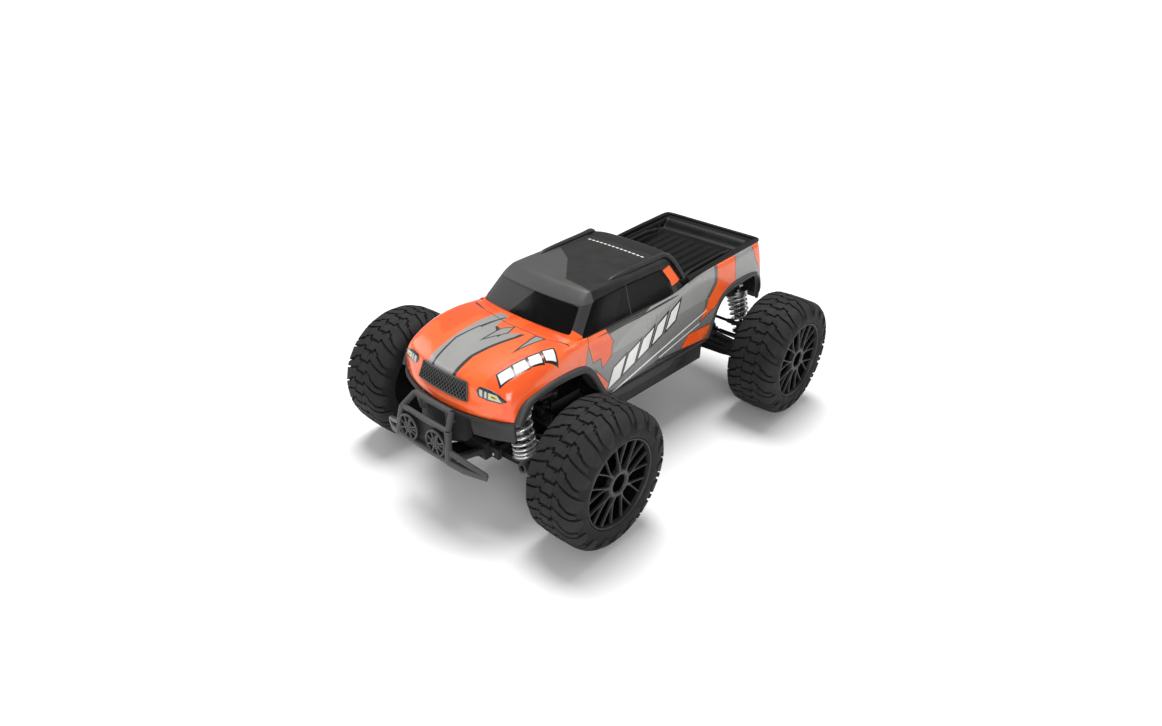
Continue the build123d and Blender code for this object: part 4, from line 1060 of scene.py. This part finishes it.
def make_bumper():
    """Bull bar of boxy rounded tube: tilted window, backing plate, swept wings and the block behind."""
    top, knee, foot = (22.9, -204.6, 108.2), (28.8, -214, 96.5), (31.8, -217, 70.6)
    bm = bmesh.new()
    for (x, y, z), size in ((top, 2.2), (knee, 2.1), (foot, 2.4)):
        tube(bm, [(-x, y, z), (0, y - 0.6, z), (x, y, z)], size, square=3.4)
    wing = [foot, (46, -212.4, 66.4), (63, -203.4, 62.4)]
    brace = [(31.4, -216.4, 80), (47, -210.8, 72.6), (62.4, -203.6, 64.6)]
    upper_arm = [(18, -204.9, 107.4), (17, -203.6, 97), (14, -176, 84)]
    lower_arm = [(31, -215.4, 72), (22, -190, 58), (14, -166, 47.4)]
    for side in (-1, 1):
        tube(bm, flip(side, [top, knee]), 2.3, square=3.4, up=(side, 0, 0))
        tube(bm, flip(side, [knee, (30.6, -216, 84), foot]), 2.7, square=3.4, up=(side, 0, 0))
        tube(bm, flip(side, wing), [2.6, 2.5, 2], flat=1.25, square=3.4)
        tube(bm, flip(side, brace), [2.2, 2.1, 1.8], square=3.4)
        tube(bm, flip(side, upper_arm), 2, sides=10, square=3.0, up=(1, 0, 0))
        tube(bm, flip(side, lower_arm), [2.8, 3, 3.2], square=3.0, up=(1, 0, 0))
    plate = [(-28.4, -213.6, 95), (28.4, -213.6, 95), (30.8, -215.6, 72), (-30.8, -215.6, 72)]
    back = [(x, y + 2.4, z) for x, y, z in plate]
    loft(bm, [plate, back], 1)
    reach = AXLE_Y["front"] - 26.6
    mount = [(-19, -166), (19, -166), (19, reach), (-19, reach)]
    loft(bm, [[(x, y, z) for x, y in mount] for z in (42.2, 56)], 1)
    foam = [(-29, -194.4), (-14, -198.4), (14, -198.4), (29, -194.4), (28, -188), (-28, -188)]
    loft(bm, [[(x * share, y, z) for x, y in foam] for share, z in
              ((0.9, 77), (1, 79), (1, 99.6), (0.96, 101.4))], 1)
    skid = [[(x, y, z) for x in (-14, -5, 5, 14)] for y, z in
            ((-215.4, 70.4), (-206, 62), (-190, 52), (-166, 43.8))]
    grid(bm, skid, slot=1)
    grid(bm, [[(x, y, z - 2) for x, y, z in row] for row in reversed(skid)], slot=1)
    piece = place("bull_bar", bm, frame_body("front_bumper"), ["bumper", "chassis"], 40)
    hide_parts("front_bumper")


def frame_body(node):
    """Name of the body that a CAD node rides on."""
    groups = frame["record"]["behaviour"]["bodies"]
    return next(body for body, members in groups.items() if node in members)


def make_lamps():
    """Two round spot lamps: cup, lens, rim and a guard of crossed bars with a ring."""
    bm = bmesh.new()
    front = -219.4
    barrel = [(8.6, 8.6), (8, 10.6), (2.6, 11.7), (1.6, 11.9)]
    rim = [(1.6, 11.9), (0.8, 12.1), (0.2, 11.7), (0, 11.1), (0.4, 10.4), (1.4, 10.2)]
    lens = [(1.4, 10.2), (5.6, 10), (4.6, 8.2), (3.9, 4.4), (3.6, 0.02)]
    for side in (-1, 1):
        centre = Vector((side * 17.3, 0, 82.3))
        for line, slot in ((barrel, 1), (rim, 0), (lens, 1)):
            spin(bm, [(front + y, r) for y, r in line], (centre.x, centre.z), 48, slot, False, axis=1)
        ring = [centre + Vector((4.6 * cos(a), front + 0.9, 4.6 * sin(a)))
                for a in [2 * pi * i / 24 for i in range(24)]]
        tube(bm, ring, 0.7, sides=8, loop=True, up=(0, 1, 0))
        for step in range(4):
            angle = pi * step / 4 + pi / 8
            reach = Vector((11.4 * cos(angle), 0, 11.4 * sin(angle)))
            bar = [p + Vector((0, front + 0.8, 0)) for p in (centre - reach, centre, centre + reach)]
            tube(bm, bar, 0.75, sides=8, square=3.0, up=(0, 1, 0))
    piece = place("bull_bar_lamps", bm, frame_body("front_bumper"), ["bumper", "glass"], 35)


# ---- Materials of the CAD parts that stay ----------------------------------------------------
CAD_LOOKS = (("wheel_axle", "steel"), ("drive_shaft", "steel"), ("shock_body", "damper"),
             ("shock_shaft", "cup"), ("pins_and_screws", "rod"), ("pinion", "steel"),
             ("centre_drive", "steel"), ("motor", "motor"), ("battery", "battery"),
             ("speed_controller", "case"), ("servo", "case"), ("", "chassis"))


def dress_cad():
    for name, node in frame["nodes"].items():
        look = next(value for key, value in CAD_LOOKS if key in name)
        node.data.materials.clear()
        node.data.materials.append(LOOKS[look])


# ---- Floor, light and camera ---------------------------------------------------------------
def make_stage():
    bm = bmesh.new()
    reach = 14000.0
    grid(bm, [[(x, y, 0) for x in (-reach, 0, reach)] for y in (-reach, 0, reach)])
    floor = place("studio_floor", bm, None, ["floor"], 35)
    make_world()
    bpy.context.scene.view_settings.view_transform = "Standard"


def make_world():
    """A dim even surround for the light, which the camera sees as plain white."""
    world = bpy.data.worlds.new("studio")
    world.use_nodes = True
    tree = world.node_tree
    dim = tree.nodes["Background"]
    seen = tree.nodes.new("ShaderNodeBackground")
    for surround, strength in ((dim, 0.30), (seen, 1)):
        surround.inputs["Color"].default_value = (1, 1, 1, 1)
        surround.inputs["Strength"].default_value = strength
    rays = tree.nodes.new("ShaderNodeLightPath")
    choose = tree.nodes.new("ShaderNodeMixShader")
    for start, end in ((rays.outputs["Is Camera Ray"], choose.inputs[0]), (dim.outputs[0], choose.inputs[1]),
                       (seen.outputs[0], choose.inputs[2]),
                       (choose.outputs[0], tree.nodes["World Output"].inputs["Surface"])):
        tree.links.new(start, end)
    bpy.context.scene.world = world


def light(name, kind, aim, **values):
    """A light that shines in the direction aim."""
    data = bpy.data.lights.new(name, kind)
    for key, value in values.items():
        setattr(data, key, value)
    lamp = add(name, data)
    lamp.rotation_euler = Vector(aim).to_track_quat("-Z", "Y").to_euler()
    return lamp


def make_lights():
    """A broad sun overhead, and three soft boxes that face the middle of the truck."""
    light("broad_overhead", "SUN", (0.24, -0.22, -1), energy=3.2, angle=radians(34))
    for name, start, high, power in (("front_fill", (1.7, -1.5, 0.9), 0.9, 26),
                                     ("far_rim", (-1.7, -0.6, 1), 1, 8), ("tail_fill", (0.6, 1.9, 1), 1, 6)):
        lamp = light(name, "AREA", Vector((0, 0, 0.08)) - Vector(start), energy=power, shape="RECTANGLE",
                     size=1.2, size_y=high)
        lamp.location = start


def make_camera():
    """Three-quarter view from the front left, slightly rolled."""
    turn, rise, roll = radians(40.37), radians(28.75), radians(2.28)
    back = Vector((sin(turn) * cos(rise), -cos(turn) * cos(rise), sin(rise)))
    right = Vector((cos(turn), sin(turn), 0))
    up = back.cross(right)
    right, up = right * cos(roll) + up * sin(roll), up * cos(roll) - right * sin(roll)
    data = bpy.data.cameras.new("main_camera")
    data.lens, data.sensor_width, data.sensor_fit = 25.24, 36, "HORIZONTAL"
    data.clip_start, data.clip_end = 0.01, 50.0
    camera = add("main_camera", data)
    turned = Matrix((right, up, back)).transposed().to_4x4()
    camera.matrix_world = Matrix.Translation((0.4598, -0.5600, 0.4620)) @ turned
    bpy.context.scene.camera = camera


make_camera()
make_stage()
make_lights()
dress_cad()
make_shell()
make_windows(make_cab())
make_flares()
make_liners()
make_sills()
make_valance()
make_grille()
make_headlights()
make_bed()
make_rails()
for end in ENDS:
    for side, way in SIDES:
        make_tyre(end, side, way)
        make_rim(end, side, way)
        make_spring(end, side)
make_bumper()
make_lamps()
